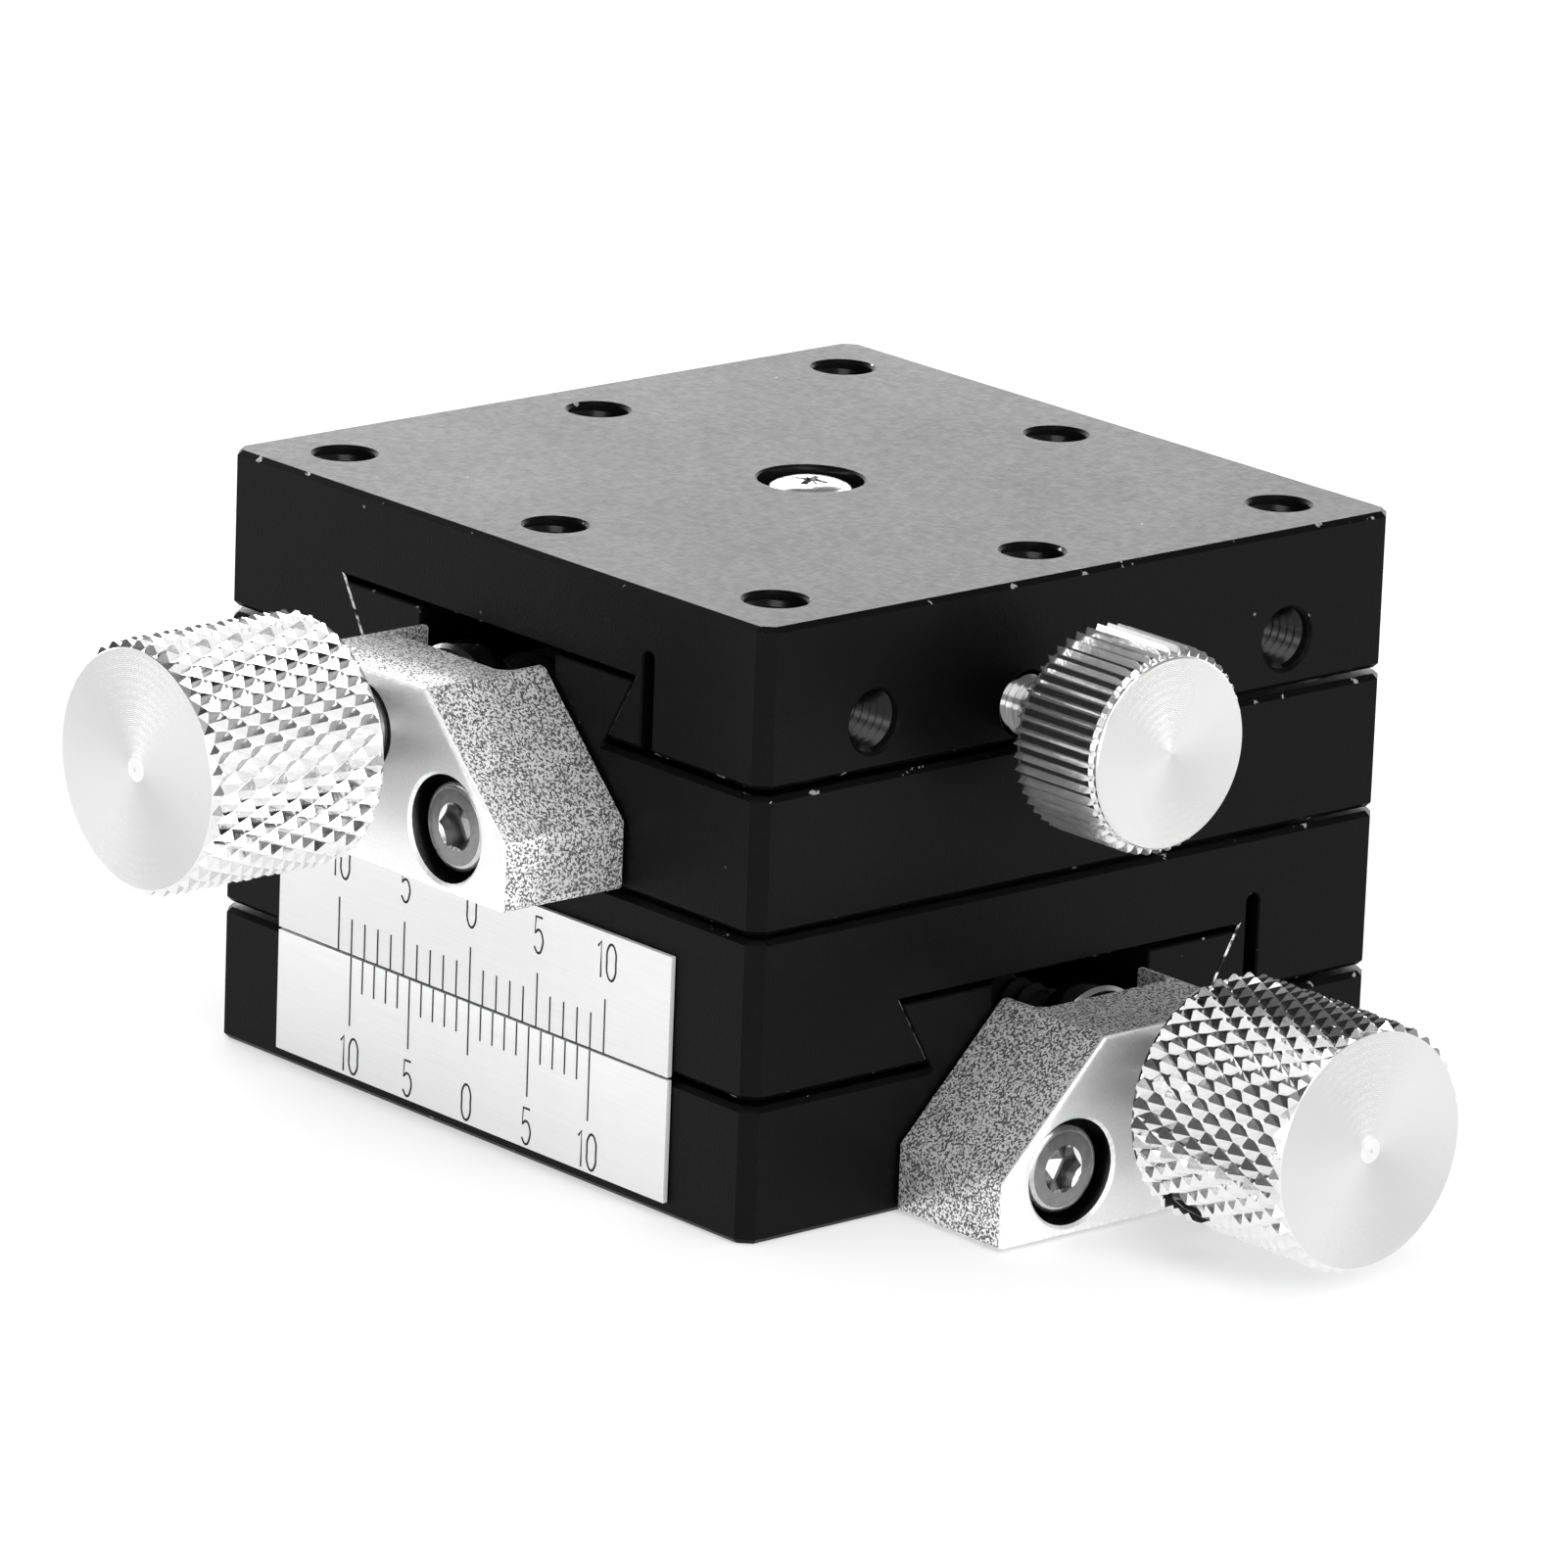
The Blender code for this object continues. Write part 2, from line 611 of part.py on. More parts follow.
def knob_mesh():
    """Drawn out ring by ring from the bore's end. The knurl is pyramids between crossing grooves."""
    shape = bmesh.new()
    points = bmesh.ops.create_circle(shape, segments=2 * KNURL_COLUMNS, radius=KNOB_BORE_RADIUS)["verts"]
    bmesh.ops.translate(shape, verts=points, vec=(0, 0, KNOB_BORE_DEPTH))
    edges = shape.edges[:]
    bmesh.ops.holes_fill(shape, edges=edges)
    for count, (height, radius, depth) in enumerate(knob_rings()):
        grown = bmesh.ops.extrude_edge_only(shape, edges=edges)["geom"]
        points = {item for item in grown if isinstance(item, bmesh.types.BMVert)}
        drawn = [item for item in grown if isinstance(item, bmesh.types.BMEdge)]
        edges = [edge for edge in drawn if points.issuperset(edge.verts)]
        for point in points:
            angle = math.atan2(point.co.y, point.co.x)
            column = round(angle * KNURL_COLUMNS / math.pi)
            reach = radius - depth * ((column + count) % 2)
            point.co = (reach * math.cos(angle), reach * math.sin(angle), height)
    bmesh.ops.remove_doubles(shape, verts=list(points), dist=MERGE)
    bmesh.ops.triangulate(shape, faces=shape.faces, quad_method="SHORT_EDGE")
    return mesh_of("knob", shape)


def knob(stage, material):
    """The knob has a blind bore for the shaft, and a set screw's hole that goes out along its own +X."""
    made = piece(stage, "knob", knob_mesh(), material)
    put(made, (0, -HALF_SIDE - KNOB_STANDOFF, FEED_HEIGHT), "front", stage.knob_turn)
    hole = [((0, 0, KNOB_SCREW_PLACE), (KNOB_RADIUS + OVERRUN, 0, KNOB_SCREW_PLACE))]
    bores(made, "set_screw_hole", SET_SCREW_CORE + THREAD_GAP, hole)


def knob_set_screw(stage, material):
    foot = SHAFT_RADIUS + SHAFT_GAP
    made = set_screw(stage, "knob_set_screw", KNOB_RADIUS - KNOB_SCREW_SINK - foot, material)
    place = Vector((0, -HALF_SIDE - KNOB_STANDOFF - KNOB_SCREW_PLACE, FEED_HEIGHT))
    turn = Matrix.Rotation(QUARTER, 4, "X") @ Matrix.Rotation(stage.knob_turn, 4, "Z")
    outward = Matrix.Rotation(QUARTER, 4, "Y") @ Matrix.Translation((0, 0, foot))
    made.matrix_basis = Matrix.Translation(place) @ turn @ outward


def lock_screw(stage, material):
    """The stem presses the gib across the slit. Height 0 is the table's side face."""
    tip = SLIT_INNER + SLIT_WIDTH / 4 - HALF_SIDE
    end = LOCK_STANDOFF + LOCK_BORE_DEPTH - TIP_GAP
    profile = [
        (0, end),
        (LOCK_STEM_RADIUS, end),
        (LOCK_STEM_RADIUS, tip + TIP_CHAMFER),
        (LOCK_STEM_RADIUS - TIP_CHAMFER, tip),
        (0, tip),
    ]
    made = turned(stage, "lock_screw", profile, SMALL_SIDES, material)
    put(made, (HALF_SIDE, -LOCK_OFFSET, LOCK_HEIGHT), "side")


def lock_knob(stage, material):
    """A turned core with a fluted band round it."""
    core_radius = LOCK_KNOB_RADIUS - LOCK_FLUTE_DEPTH
    profile = [
        (0, LOCK_KNOB_LENGTH),
        (core_radius - LOCK_RIM_CHAMFER, LOCK_KNOB_LENGTH),
        (core_radius, LOCK_KNOB_LENGTH - LOCK_RIM_CHAMFER),
        (core_radius, LOCK_RIM_CHAMFER),
        (core_radius - LOCK_RIM_CHAMFER, 0),
        (LOCK_STEM_RADIUS + LOCK_STEM_GAP, 0),
        (LOCK_STEM_RADIUS + LOCK_STEM_GAP, LOCK_BORE_DEPTH),
        (0, LOCK_BORE_DEPTH),
    ]
    made = turned(stage, "lock_knob", profile, LOCK_FLUTES, material)
    put(made, (HALF_SIDE + LOCK_STANDOFF, -LOCK_OFFSET, LOCK_HEIGHT), "side")
    outline = []
    for flute in range(2 * LOCK_FLUTES):
        radius = LOCK_KNOB_RADIUS if flute % 2 else core_radius - LOCK_RIM_CHAMFER
        angle = math.pi * flute / LOCK_FLUTES
        outline.append((radius * math.cos(angle), radius * math.sin(angle)))
    band = prism("flutes", outline, -(LOCK_KNOB_LENGTH - LOCK_RIM), -LOCK_RIM)
    band.transform(Matrix.Rotation(-QUARTER, 4, "X"))
    combine(made, "flutes", band, "UNION")
    bore = [((0, 0, -OVERRUN), (0, 0, LOCK_BORE_DEPTH))]
    bores(made, "stem_bore", LOCK_STEM_RADIUS + LOCK_STEM_GAP, bore)


def gib_screws(stage, material):
    x = SLIT_INNER + SLIT_WIDTH / 4
    for name, y in (("front", -SIDE_HOLE_PLACE), ("rear", SIDE_HOLE_PLACE)):
        made = set_screw(stage, "gib_screw_" + name, GIB_SCREW_LENGTH, material)
        put(made, (x, y, TABLE_FOOT + SIDE_HOLE_RISE), "side")


def scale_strip(stage, name, foot, top, material):
    outer = -HALF_SIDE - SCALE_GLUE
    low = (outer - SCALE_THICK, SCALE_SHIFT - SCALE_WIDTH / 2, foot)
    high = (outer, SCALE_SHIFT + SCALE_WIDTH / 2, top)
    piece(stage, name, box(name, low, high), material)


def joining_screws(stage, material):
    """They sit in the upper base's seats and are screwed into the lower table's corner holes."""
    seat = BASE_THICK - BOLT_SEAT_DEPTH + SEAT_GAP
    reach = seat + JOINT_GAP + TAPPED_DEPTH - TIP_GAP
    for number, (x, y) in enumerate(corners(GRID), 1):
        made = cap_screw(
            stage,
            "joining_screw_" + str(number),
            JOINING_SCREW_HEAD_RADIUS,
            JOINING_SCREW_HEAD_HEIGHT,
            JOINING_SCREW_CORE,
            reach,
            JOINING_SCREW_SOCKET,
            material,
        )
        put(made, (x, y, seat), "up")


def build():
    start()
    black = finish("black_anodised", (0.020, 0.020, 0.021), 0.5, 0.45)
    blasted = finish("sand_blasted", (0.62, 0.61, 0.59), 1.0, 0.5)
    knurled = finish("nickel_knurl", (0.75, 0.74, 0.72), 1.0, 0.25)
    turned_steel = finish("turned_steel", (0.60, 0.59, 0.57), 1.0, 0.3)
    zinc = finish("bright_zinc", (0.80, 0.80, 0.80), 1.0, 0.2)
    screw_steel = finish("screw_steel", (0.50, 0.49, 0.47), 1.0, 0.35)
    dark_steel = finish("dark_steel", (0.06, 0.06, 0.06), 0.8, 0.4)
    brass = finish("nut_brass", (0.70, 0.52, 0.22), 1.0, 0.35)
    satin = finish("satin_scale", (0.66, 0.66, 0.65), 1.0, 0.4)
    lower = Stage("lower", QUARTER, 0, LOWER_KNOB_TURN)
    upper = Stage("upper", 0, STAGE_PITCH, UPPER_KNOB_TURN)
    for stage in (lower, upper):
        base(stage, black)
        table(stage, black)
        bracket(stage, blasted)
        bracket_screws(stage, screw_steel)
        feed_screw(stage, turned_steel)
        feed_nut(stage, brass)
        nut_screw(stage, zinc)
        knob(stage, knurled)
        knob_set_screw(stage, dark_steel)
        lock_screw(stage, turned_steel)
        lock_knob(stage, knurled)
        gib_screws(stage, dark_steel)
        scale_foot = SPLIT_HEIGHT + SCALE_SPLIT / 2
        scale_strip(stage, "scale_plate", scale_foot, scale_foot + SCALE_HEIGHT, satin)
        scale_strip(stage, "vernier_plate", VERNIER_RISE, SPLIT_HEIGHT - SCALE_SPLIT / 2, satin)
    joining_screws(upper, dark_steel)


build()
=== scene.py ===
"""The looks of the manual two-axis stage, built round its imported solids. All sizes are in metres.

A stage's own frame has its knob at -Y, its lock screw at +X and its scale plates at -X. A piece is modelled
once, in that frame or about its own axis, and copied to the lower and the upper stage.
"""

import contextlib
import math

import bmesh
import bpy
from mathutils import Matrix, Vector


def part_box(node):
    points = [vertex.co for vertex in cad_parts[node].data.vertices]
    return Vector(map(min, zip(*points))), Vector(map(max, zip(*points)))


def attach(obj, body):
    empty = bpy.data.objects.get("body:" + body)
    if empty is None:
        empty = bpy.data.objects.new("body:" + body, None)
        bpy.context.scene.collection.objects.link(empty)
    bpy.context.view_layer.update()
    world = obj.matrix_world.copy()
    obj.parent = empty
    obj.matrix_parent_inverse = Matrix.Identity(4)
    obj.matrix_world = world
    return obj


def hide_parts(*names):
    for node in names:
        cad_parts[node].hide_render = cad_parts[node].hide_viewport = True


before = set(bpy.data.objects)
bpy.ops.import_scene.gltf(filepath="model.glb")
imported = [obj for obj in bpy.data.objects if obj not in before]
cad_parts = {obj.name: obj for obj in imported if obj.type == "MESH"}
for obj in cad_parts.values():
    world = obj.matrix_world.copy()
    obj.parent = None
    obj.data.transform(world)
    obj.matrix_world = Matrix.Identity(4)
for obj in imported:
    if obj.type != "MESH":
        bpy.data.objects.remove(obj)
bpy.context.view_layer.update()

# Plates
HALF_SIDE = 0.0200
PLATE_CORNER = 0.0010
PLATE_EDGE = 0.00025
BASE_THICK = 0.0067
TABLE_FOOT = 0.0070
ROOF = 0.0105
TABLE_TOP = 0.0148
RAIL_TOP = 0.0102
FINE_EDGE = 0.00008
GRID = 0.0160

# Dovetail, slit and channel
ROOF_HALF = 0.01087
FLANK_GAP = 0.00006
FLANK_ANGLE = math.radians(60)
SLIT_INNER = 0.01135
SLIT_WIDTH = 0.0008
SLIT_TOP = 0.0119
CHANNEL_HALF = 0.0050
CHANNEL_FLOOR = 0.0017

# Holes
TAPPED_RADIUS = 0.0015
TAPPED_CREST = 0.00124
TAPPED_MOUTH = 0.00166
TAPPED_DEPTH = 0.0036
THREAD_PITCH = 0.0005
THREAD_SHARE = 0.92
THREAD_STEPS = 28
GRID_TURNS = 6
SIDE_TURNS = 15
BOLT_SEAT_RADIUS = 0.0031
BOLT_SEAT = 0.0034
BOLT_HOLE_RADIUS = 0.0017
PAN_SEAT_RADIUS = 0.0026
PAN_SEAT = 0.01305
PAN_HEAD_RADIUS = 0.00205
PAN_HEAD_RIM = 0.00135
PAN_HEAD_CROWN = 0.00025
PAN_HOLE_RADIUS = 0.00105
PAN_CORE = 0.0008
PAN_TIP = -0.0055
PAN_ROUNDING = 0.0004
PAN_TURN = math.radians(25)
PAN_RIM_FALL = 0.0002
CROSS_DEPTH = 0.0008
CROSS_TAPER_BELOW = 0.0005
NOTCH_DEPTH = 0.00025
CROSS_ARMS = ((0.00115, 0.00024), (0.00024, 0.00115))
CROSS_NOTCHES = ((0.00085, 0.00006), (0.00006, 0.00085))
SIDE_HOLE_HEIGHT = 0.0094
SIDE_HOLE_PLACE = 0.0131
LOCK_OFFSET = 0.00365
LOCK_HEIGHT = 0.00875
LOCK_HOLE_RADIUS = 0.0016

# Bracket
FEED_HEIGHT = 0.0067
BRACKET_REAR = 0.0201
BRACKET_FRONT = 0.0275
BRACKET_HALF = 0.01065
BRACKET_FOOT = 0.00015
BRACKET_TOP = 0.00955
BRACKET_SLOPE = 0.0061
BRACKET_EDGE = 0.0002
POCKET_HALF = 0.00425
POCKET_FRONT = 0.0225
POCKET_FOOT = 0.0033
POCKET_CORNER = 0.0008
BRACKET_SCREW_X = 0.00635
BRACKET_SCREW_Z = 0.0032
BRACKET_SCREW_SEAT = 0.0243
BRACKET_SEAT_RADIUS = 0.0026
BRACKET_SEAT_LIP = 0.00015
BRACKET_SCREW_HEAD_RADIUS = 0.0022
BRACKET_SCREW_HEAD_HEIGHT = 0.0025
BRACKET_SCREW_ROUNDING = 0.00035
BRACKET_SCREW_CORE = 0.0010
BRACKET_SCREW_REACH = 0.0085
BRACKET_SCREW_SOCKET = 0.0020
BRACKET_SCREW_HOLE = 0.00125
BRACKET_HOLE_REACH = 0.0085
SHAFT_RADIUS = 0.0020
SHAFT_BORE = 0.00215
BORE_REACH = 0.009
COLLAR_RADIUS = 0.0031
COLLAR_REAR = 0.0003
COLLAR_FRONT = 0.0022
SHAFT_TIP = -0.0365
SHAFT_CHAMFER = 0.0002
SHAFT_IN_KNOB = 0.0078
FEED_PITCH = 0.00105
FEED_STARTS = 4
FEED_TURNS = 8
FEED_THREAD_END = -0.0012
FEED_STEP = (-0.001, -0.0008)
GRUB_RADIUS = 0.00125
GRUB_TIP = 0.0009
GRUB_CONE = 0.0012
GRUB_END = 0.0010
GRUB_CHAMFER = 0.0003
GRUB_SOCKET = 0.00075
GIB_SCREW_LENGTH = 0.0040

# Knob
KNOB_RADIUS = 0.0061
KNOB_LENGTH = 0.0102
KNOB_PLACE = 0.0307
KNOB_FACE = 0.01005
KNURL_DEPTH = 0.0004
KNURL_COLUMNS = 38
KNURL_STEPS = 10
KNURL_TIP = 0.00013
KNURL_START = 0.0003
KNURL_END = 0.0096
KNOB_RIM = 0.0058
KNOB_SHOULDER = 0.00565
KNOB_RIM_CHAMFER = 0.00012
KNOB_RIM_START = 0.0001
KNOB_RIM_END = 0.00024
KNOB_EDGE = 0.00004
KNOB_FILLET = 0.00003
KNOB_TIP_FOOT = 0.0009
KNOB_TIP = 0.0006
KNOB_BORE_END = 0.0082
KNOB_SCREW_PLACE = 0.0020
KNOB_SCREW_FOOT = 0.00215
KNOB_SCREW_SINK = 0.0005
KNOB_SCREW_HOLE = 0.0015
KNOB_HOLE_FOOT = 0.001
KNOB_TURN = {"lower": math.radians(-129), "upper": math.radians(200)}

# Lock screw
LOCK_STANDOFF = 0.0044
LOCK_RADIUS = 0.0050
LOCK_LENGTH = 0.0056
LOCK_RIDGES = 48
LOCK_FLUTE_DEPTH = 0.0004
LOCK_DISC_RADIUS = 0.0046
LOCK_DISC_THICK = 0.0004
LOCK_SLOPE = 0.00025
LOCK_BORE = 0.00162
LOCK_BORE_END = 0.0040
STEM_CREST = 0.00148
STEM_TURNS = 24
STEM_IN_HEAD = 0.003

# Scale plates
SCALE_HALF = 0.01465
SCALE_SHIFT = 0.00013
SCALE_INNER = 0.02005
SCALE_OUTER = 0.02033
SCALE_FOOT = 0.00692
SCALE_TOP = 0.01282
VERNIER_FOOT = 0.00075
VERNIER_TOP = 0.00678
TICK_WIDTH = 0.0001
INK_RISE = 0.000016
STROKE_RADIUS = 0.000065
TEN_PLACES = (-0.00048, 0.00036)
SCALE_EDGE = 0.00003
MAIN_PITCH = 0.001
MAIN_LINES = {"nought": 0.00266, "major": 0.00266, "minor": 0.00175}
MAIN_DIGITS = 0.00453
VERNIER_PITCH = 0.0009
VERNIER_LINES = {"nought": 0.0026, "major": 0.00348, "minor": 0.00165}
VERNIER_DIGITS = -0.00495

SMOOTH = math.radians(24)
FACET_SMOOTH = math.radians(12)
BROKEN_ANGLE = math.radians(50)
# Where the painted highlight fans of a turned face point.
FAN_HIGHLIGHT_TURN = math.radians(70)
HEX_HALF = math.radians(30)
HALF_TURN = math.pi
QUARTER = math.pi / 2

# Cutting tools: how far they reach past what they cut, the edge that they break, and the drill's point
OVERRUN = 0.001
SHORT_OVERRUN = 0.0005
LIP = 0.0001
DRILL_POINT_SHARE = 0.45

# Small sizes that several pieces share. CENTRE is the ring that closes a turned face
CENTRE = 0.0001
BORE_CENTRE = 0.0003
TIP_CHAMFER = 0.0002
HEAD_EDGE = 0.0001
SEAT_GAP = 0.0001
HAIR = 0.00002

# Studio
FLOOR_GLOW = 0.80
FLOOR_SEEN = 0.45
SKY_MATTE = 0.75
SKY_WHITE_TO = math.radians(24)
SKY_DARK_FROM = math.radians(40)
SKY_BRIGHT_SIDE = math.radians(20)
SKY_LEFT = 0.05
SKY_RIGHT = 0.45
CAMERA_AZIMUTH = 48.631
CAMERA_ELEVATION = 16.099
CAMERA_ROLL = math.radians(2.177)
CAMERA_PLACE = (0.380632, -0.336181, 0.160969)
CAMERA_LENS = 249.43

# Each lamp's azimuth and elevation in degrees, distance, size and radiance
LAMPS = {
    "back_box": (228.6, 14, 0.9, (1.4, 0.42), 3.2),
    "right_box": (105, 16, 0.9, (0.8, 0.4), 4.5),
    "high_left_box": (-107, 33, 0.9, (0.6, 0.4), 5.0),
    "left_box": (-62, 10, 0.9, (0.9, 0.3), 2.6),
    "low_box": (48.6, 6, 0.9, (1.2, 0.22), 3.4),
    "front_box": (75, 40, 0.8, (0.5, 0.4), 2.6),
    "top_box": (60, 76, 0.8, (0.35, 0.35), 2.6),
}

STAGES = {
    "lower": Matrix.Rotation(QUARTER, 4, "Z"),
    "upper": Matrix.Translation((0, 0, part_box("upper_base")[0].z)),
}
CARRIERS = {
    "lower": {"base": "lower_base", "table": "lower_table", "feed": "lower_feed", "lock": "lower_lock"},
    "upper": {"base": "lower_table", "table": "upper_table", "feed": "upper_feed", "lock": "upper_lock"},
}
FRONT = Matrix.Rotation(QUARTER, 4, "X")
SIDE = Matrix.Rotation(QUARTER, 4, "Y")


class Signal:
    """A shader socket that takes part in Python sums: each sum adds its Math node."""

    def __init__(self, owner, socket):
        self.owner = owner
        self.socket = socket

    def sum(self, operation, first, second):
        return self.owner.node("Math", {"operation": operation}, {0: first, 1: second})

    def __add__(self, other):
        return self.sum("ADD", self, other)

    def __radd__(self, other):
        return self.sum("ADD", other, self)

    def __sub__(self, other):
        return self.sum("SUBTRACT", self, other)

    def __rsub__(self, other):
        return self.sum("SUBTRACT", other, self)

    def __mul__(self, other):
        return self.sum("MULTIPLY", self, other)

    def __rmul__(self, other):
        return self.sum("MULTIPLY", other, self)

    def __truediv__(self, other):
        return self.sum("DIVIDE", self, other)

    def __pow__(self, other):
        return self.sum("POWER", self, other)


class Shading:
    """A node tree, where each node is made at once with its settings and its sockets' values or links."""

    def __init__(self, tree):
        self.tree = tree

    def node(self, kind, settings, sockets, output=0):
        made = self.tree.nodes.new("ShaderNode" + kind)
        for setting, value in settings.items():
            setattr(made, setting, value)
        for socket, value in sockets.items():
            if isinstance(value, Signal):
                self.tree.links.new(value.socket, made.inputs[socket])
            else:
                made.inputs[socket].default_value = value
        return Signal(self, made.outputs[output]) if made.outputs else None

    def span(self, signal, low, high, least=0.0, most=1.0):
        """The signal from low to high, drawn out to run from least to most."""
        return self.node(
            "MapRange",
            {"clamp": True},
            {"Value": signal, "From Min": low, "From Max": high, "To Min": least, "To Max": most},
        )

    def ray(self, kind):
        """A signal that is 1 for rays of the kind."""
        return self.node("LightPath", {}, {}, kind)


class Finish(Shading):
    """A procedural material. Patterns are laid in the frame that the place gives."""

    def __init__(self, name, metallic=0.0, place=None, **constants):
        self.material = bpy.data.materials.new(name)
        self.material.use_nodes = True
        super().__init__(self.material.node_tree)
        self.shader = self.tree.nodes["Principled BSDF"]
        self.shader.inputs["Metallic"].default_value = metallic
        for socket, value in constants.items():
            self.shader.inputs[socket.replace("_", " ")].default_value = value
        self.spot = self.node("TexCoord", {}, {}, "Object")
        if place is not None:
            self.spot = self.node(
                "Mapping",
                {"vector_type": "TEXTURE"},
                {"Vector": self.spot, "Location": place.to_translation(), "Rotation": place.to_euler()},
            )

    def feed(self, socket, signal):
        self.tree.links.new(signal.socket, self.shader.inputs[socket])

    def noise(self, scale, detail=2.0, spot=None):
        return self.node("TexNoise", {}, {"Vector": spot or self.spot, "Scale": scale, "Detail": detail})

    def cells(self, scale):
        return self.node("TexVoronoi", {"feature": "F1"}, {"Vector": self.spot, "Scale": scale}, "Distance")

    def stretched(self, scale):
        return self.node("Mapping", {}, {"Vector": self.spot, "Scale": scale})

    def distance_from_axis(self, axis):
        """How far a point lies from the frame's axis, 0 for X or 1 for Y."""
        flat = [1.0, 1.0, 1.0]
        flat[axis] = 0.0
        level = self.node("VectorMath", {"operation": "MULTIPLY"}, {0: self.spot, 1: flat})
        return self.node("VectorMath", {"operation": "LENGTH"}, {0: level}, "Value")

    def bump(self, height, distance):
        relief = self.node("Bump", {}, {"Height": height, "Distance": distance, "Strength": 1.0})
        self.feed("Normal", relief)


def black_anodised():
    finish = Finish("black_anodised", Specular_IOR_Level=0.075)
    grain = finish.noise(6500, 2.0)
    fleck = finish.noise(2300, 2.0)
    cloud = finish.noise(110, 2.0)
    dust = finish.span(finish.cells(420), 0.045, 0.02)
    rare = finish.span(finish.noise(260, 0.0), 0.60, 0.64)
    finish.feed("Base Color", 0.0008 + 0.0016 * grain + 0.0006 * cloud + 0.16 * dust * rare)
    finish.feed("Roughness", 0.25 + 0.06 * cloud + 0.16 * fleck)
    finish.bump(grain + 0.4 * fleck, 0.000012)
    return finish.material


def worn_edge():
    """The plates' broken edges: anodised, with bare metal where they were knocked."""
    finish = Finish("black_anodised_edge", Specular_IOR_Level=0.04)
    knock = finish.span(finish.noise(1100, 4.0), 0.665, 0.70)
    finish.feed("Base Color", 0.002 + 0.55 * knock)
    finish.feed("Metallic", knock)
    finish.feed("Roughness", 0.30 + 0.15 * finish.noise(4000))
    return finish.material


def scraped_edge():
    """The dovetail groove's edges at its ends, scraped bright in places."""
    finish = Finish("black_anodised_scraped", Specular_IOR_Level=0.2)
    scrape = finish.span(finish.noise(1500, 4.0), 0.46, 0.56)
    finish.feed("Base Color", 0.004 + 0.75 * scrape)
    finish.feed("Metallic", scrape)
    finish.feed("Roughness", 0.28 + 0.2 * finish.noise(4000))
    return finish.material


def grained(name, metallic, grain_size, colour, roughness, relief=None, **constants):
    """A finish that follows one grain. Colour and roughness are each (least, what the grain adds)."""
    finish = Finish(name, metallic, **constants)
    grain = finish.noise(*grain_size)
    finish.feed("Base Color", colour[0] + colour[1] * grain)
    finish.feed("Roughness", roughness[0] + roughness[1] * grain)
    if relief:
        finish.bump(grain, relief)
    return finish.material


def screw_steel(name, colour):
    return grained(name, 1.0, (2600, 3.0), (colour, 0.65 * colour), (0.16, 0.14), 0.000008)


def nickel(name, metallic):
    return grained(name, metallic, (1800, 3.0), (0.80, 0.18), (0.09, 0.10), 0.000012)


def sand_blasted():
    finish = Finish("blasted_bracket", 0.55)
    grain = finish.noise(8200, 1.5)
    sparkle = finish.span(grain, 0.44, 0.56)
    finish.feed("Base Color", 0.13 + 0.83 * sparkle)
    finish.feed("Roughness", 0.50 - 0.24 * sparkle)
    finish.bump(grain, 0.000008)
    return finish.material


def milled_edge():
    """The bracket's edges, blasted smoother than its faces."""
    finish = Finish("sand_blasted_edge", 0.6)
    grain = finish.noise(4200, 3.0)
    bright = finish.span(grain, 0.35, 0.62)
    finish.feed("Base Color", 0.80 + 0.19 * bright)
    finish.feed("Roughness", 0.42 - 0.1 * bright)
    finish.bump(grain, 0.00001)
    return finish.material


def turned_face(name, place, axis, colour=0.68, ring=0.00009):
    """A face turned in a lathe: fine rings about the frame's axis, and two bright fans painted into its
    colour as a painted highlight.
    """
    finish = Finish(name, 1.0, place)
    out = finish.distance_from_axis(axis)
    waver = finish.noise(300, 2.0)
    rings = finish.node("Math", {"operation": "SINE"}, {0: out * (2 * math.pi / ring) + 2.0 * waver})
    coarse = finish.node("Math", {"operation": "SINE"}, {0: out * (2 * math.pi / (ring * 4.7))})
    split = finish.node("SeparateXYZ", {}, {0: finish.spot}, 1 - axis)
    height = finish.node("SeparateXYZ", {}, {0: finish.spot}, 2)
    angle = finish.node("Math", {"operation": "ARCTAN2"}, {0: height, 1: split})
    # Painted highlight: two bright fans about the axis, added to the base colour.
    painted_fan_highlight = finish.node("Math", {"operation": "COSINE"}, {0: 2.0 * angle - FAN_HIGHLIGHT_TURN})
    finish.feed("Base Color", colour + 0.07 * painted_fan_highlight + 0.015 * rings + 0.03 * waver)
    finish.feed("Roughness", 0.22 + 0.08 * waver)
    finish.bump(rings + 0.4 * coarse, 0.0000024)
    return finish.material


def turned_steel(name, place, axis, colour=0.42):
    finish = Finish(name, 1.0, place)
    scale = [300.0, 300.0, 300.0]
    scale[axis] = 9000.0
    lines = finish.noise(1, 2.0, finish.stretched(scale))
    finish.feed("Base Color", colour + 0.30 * lines)
    finish.feed("Roughness", 0.08 + 0.10 * lines)
    finish.bump(lines, 0.000001)
    return finish.material


def nut_brass():
    finish = Finish("nut_brass", 1.0)
    grain = finish.noise(2400, 3.0)
    tone = finish.node(
        "Mix", {"data_type": "RGBA"}, {0: grain, 6: (0.58, 0.40, 0.15, 1), 7: (0.78, 0.58, 0.27, 1)}, 2
    )
    finish.feed("Base Color", tone)
    finish.feed("Roughness", 0.26 + 0.14 * grain)
    finish.bump(grain, 0.00001)
    return finish.material


def satin_scale(name, place):
    """Silver plates, brushed along the stage's own Y."""
    finish = Finish(name, 0.35, place)
    strokes = finish.noise(1, 3.0, finish.stretched((300.0, 240.0, 9000.0)))
    grain = finish.noise(7000, 2.0)
    finish.feed("Base Color", 0.66 + 0.08 * strokes + 0.03 * grain)
    finish.feed("Roughness", 0.26 + 0.12 * strokes)
    finish.bump(strokes + 0.3 * grain, 0.000002)
    return finish.material


def alone(made):
    bpy.ops.object.select_all(action="DESELECT")
    made.select_set(True)
    bpy.context.view_layer.objects.active = made


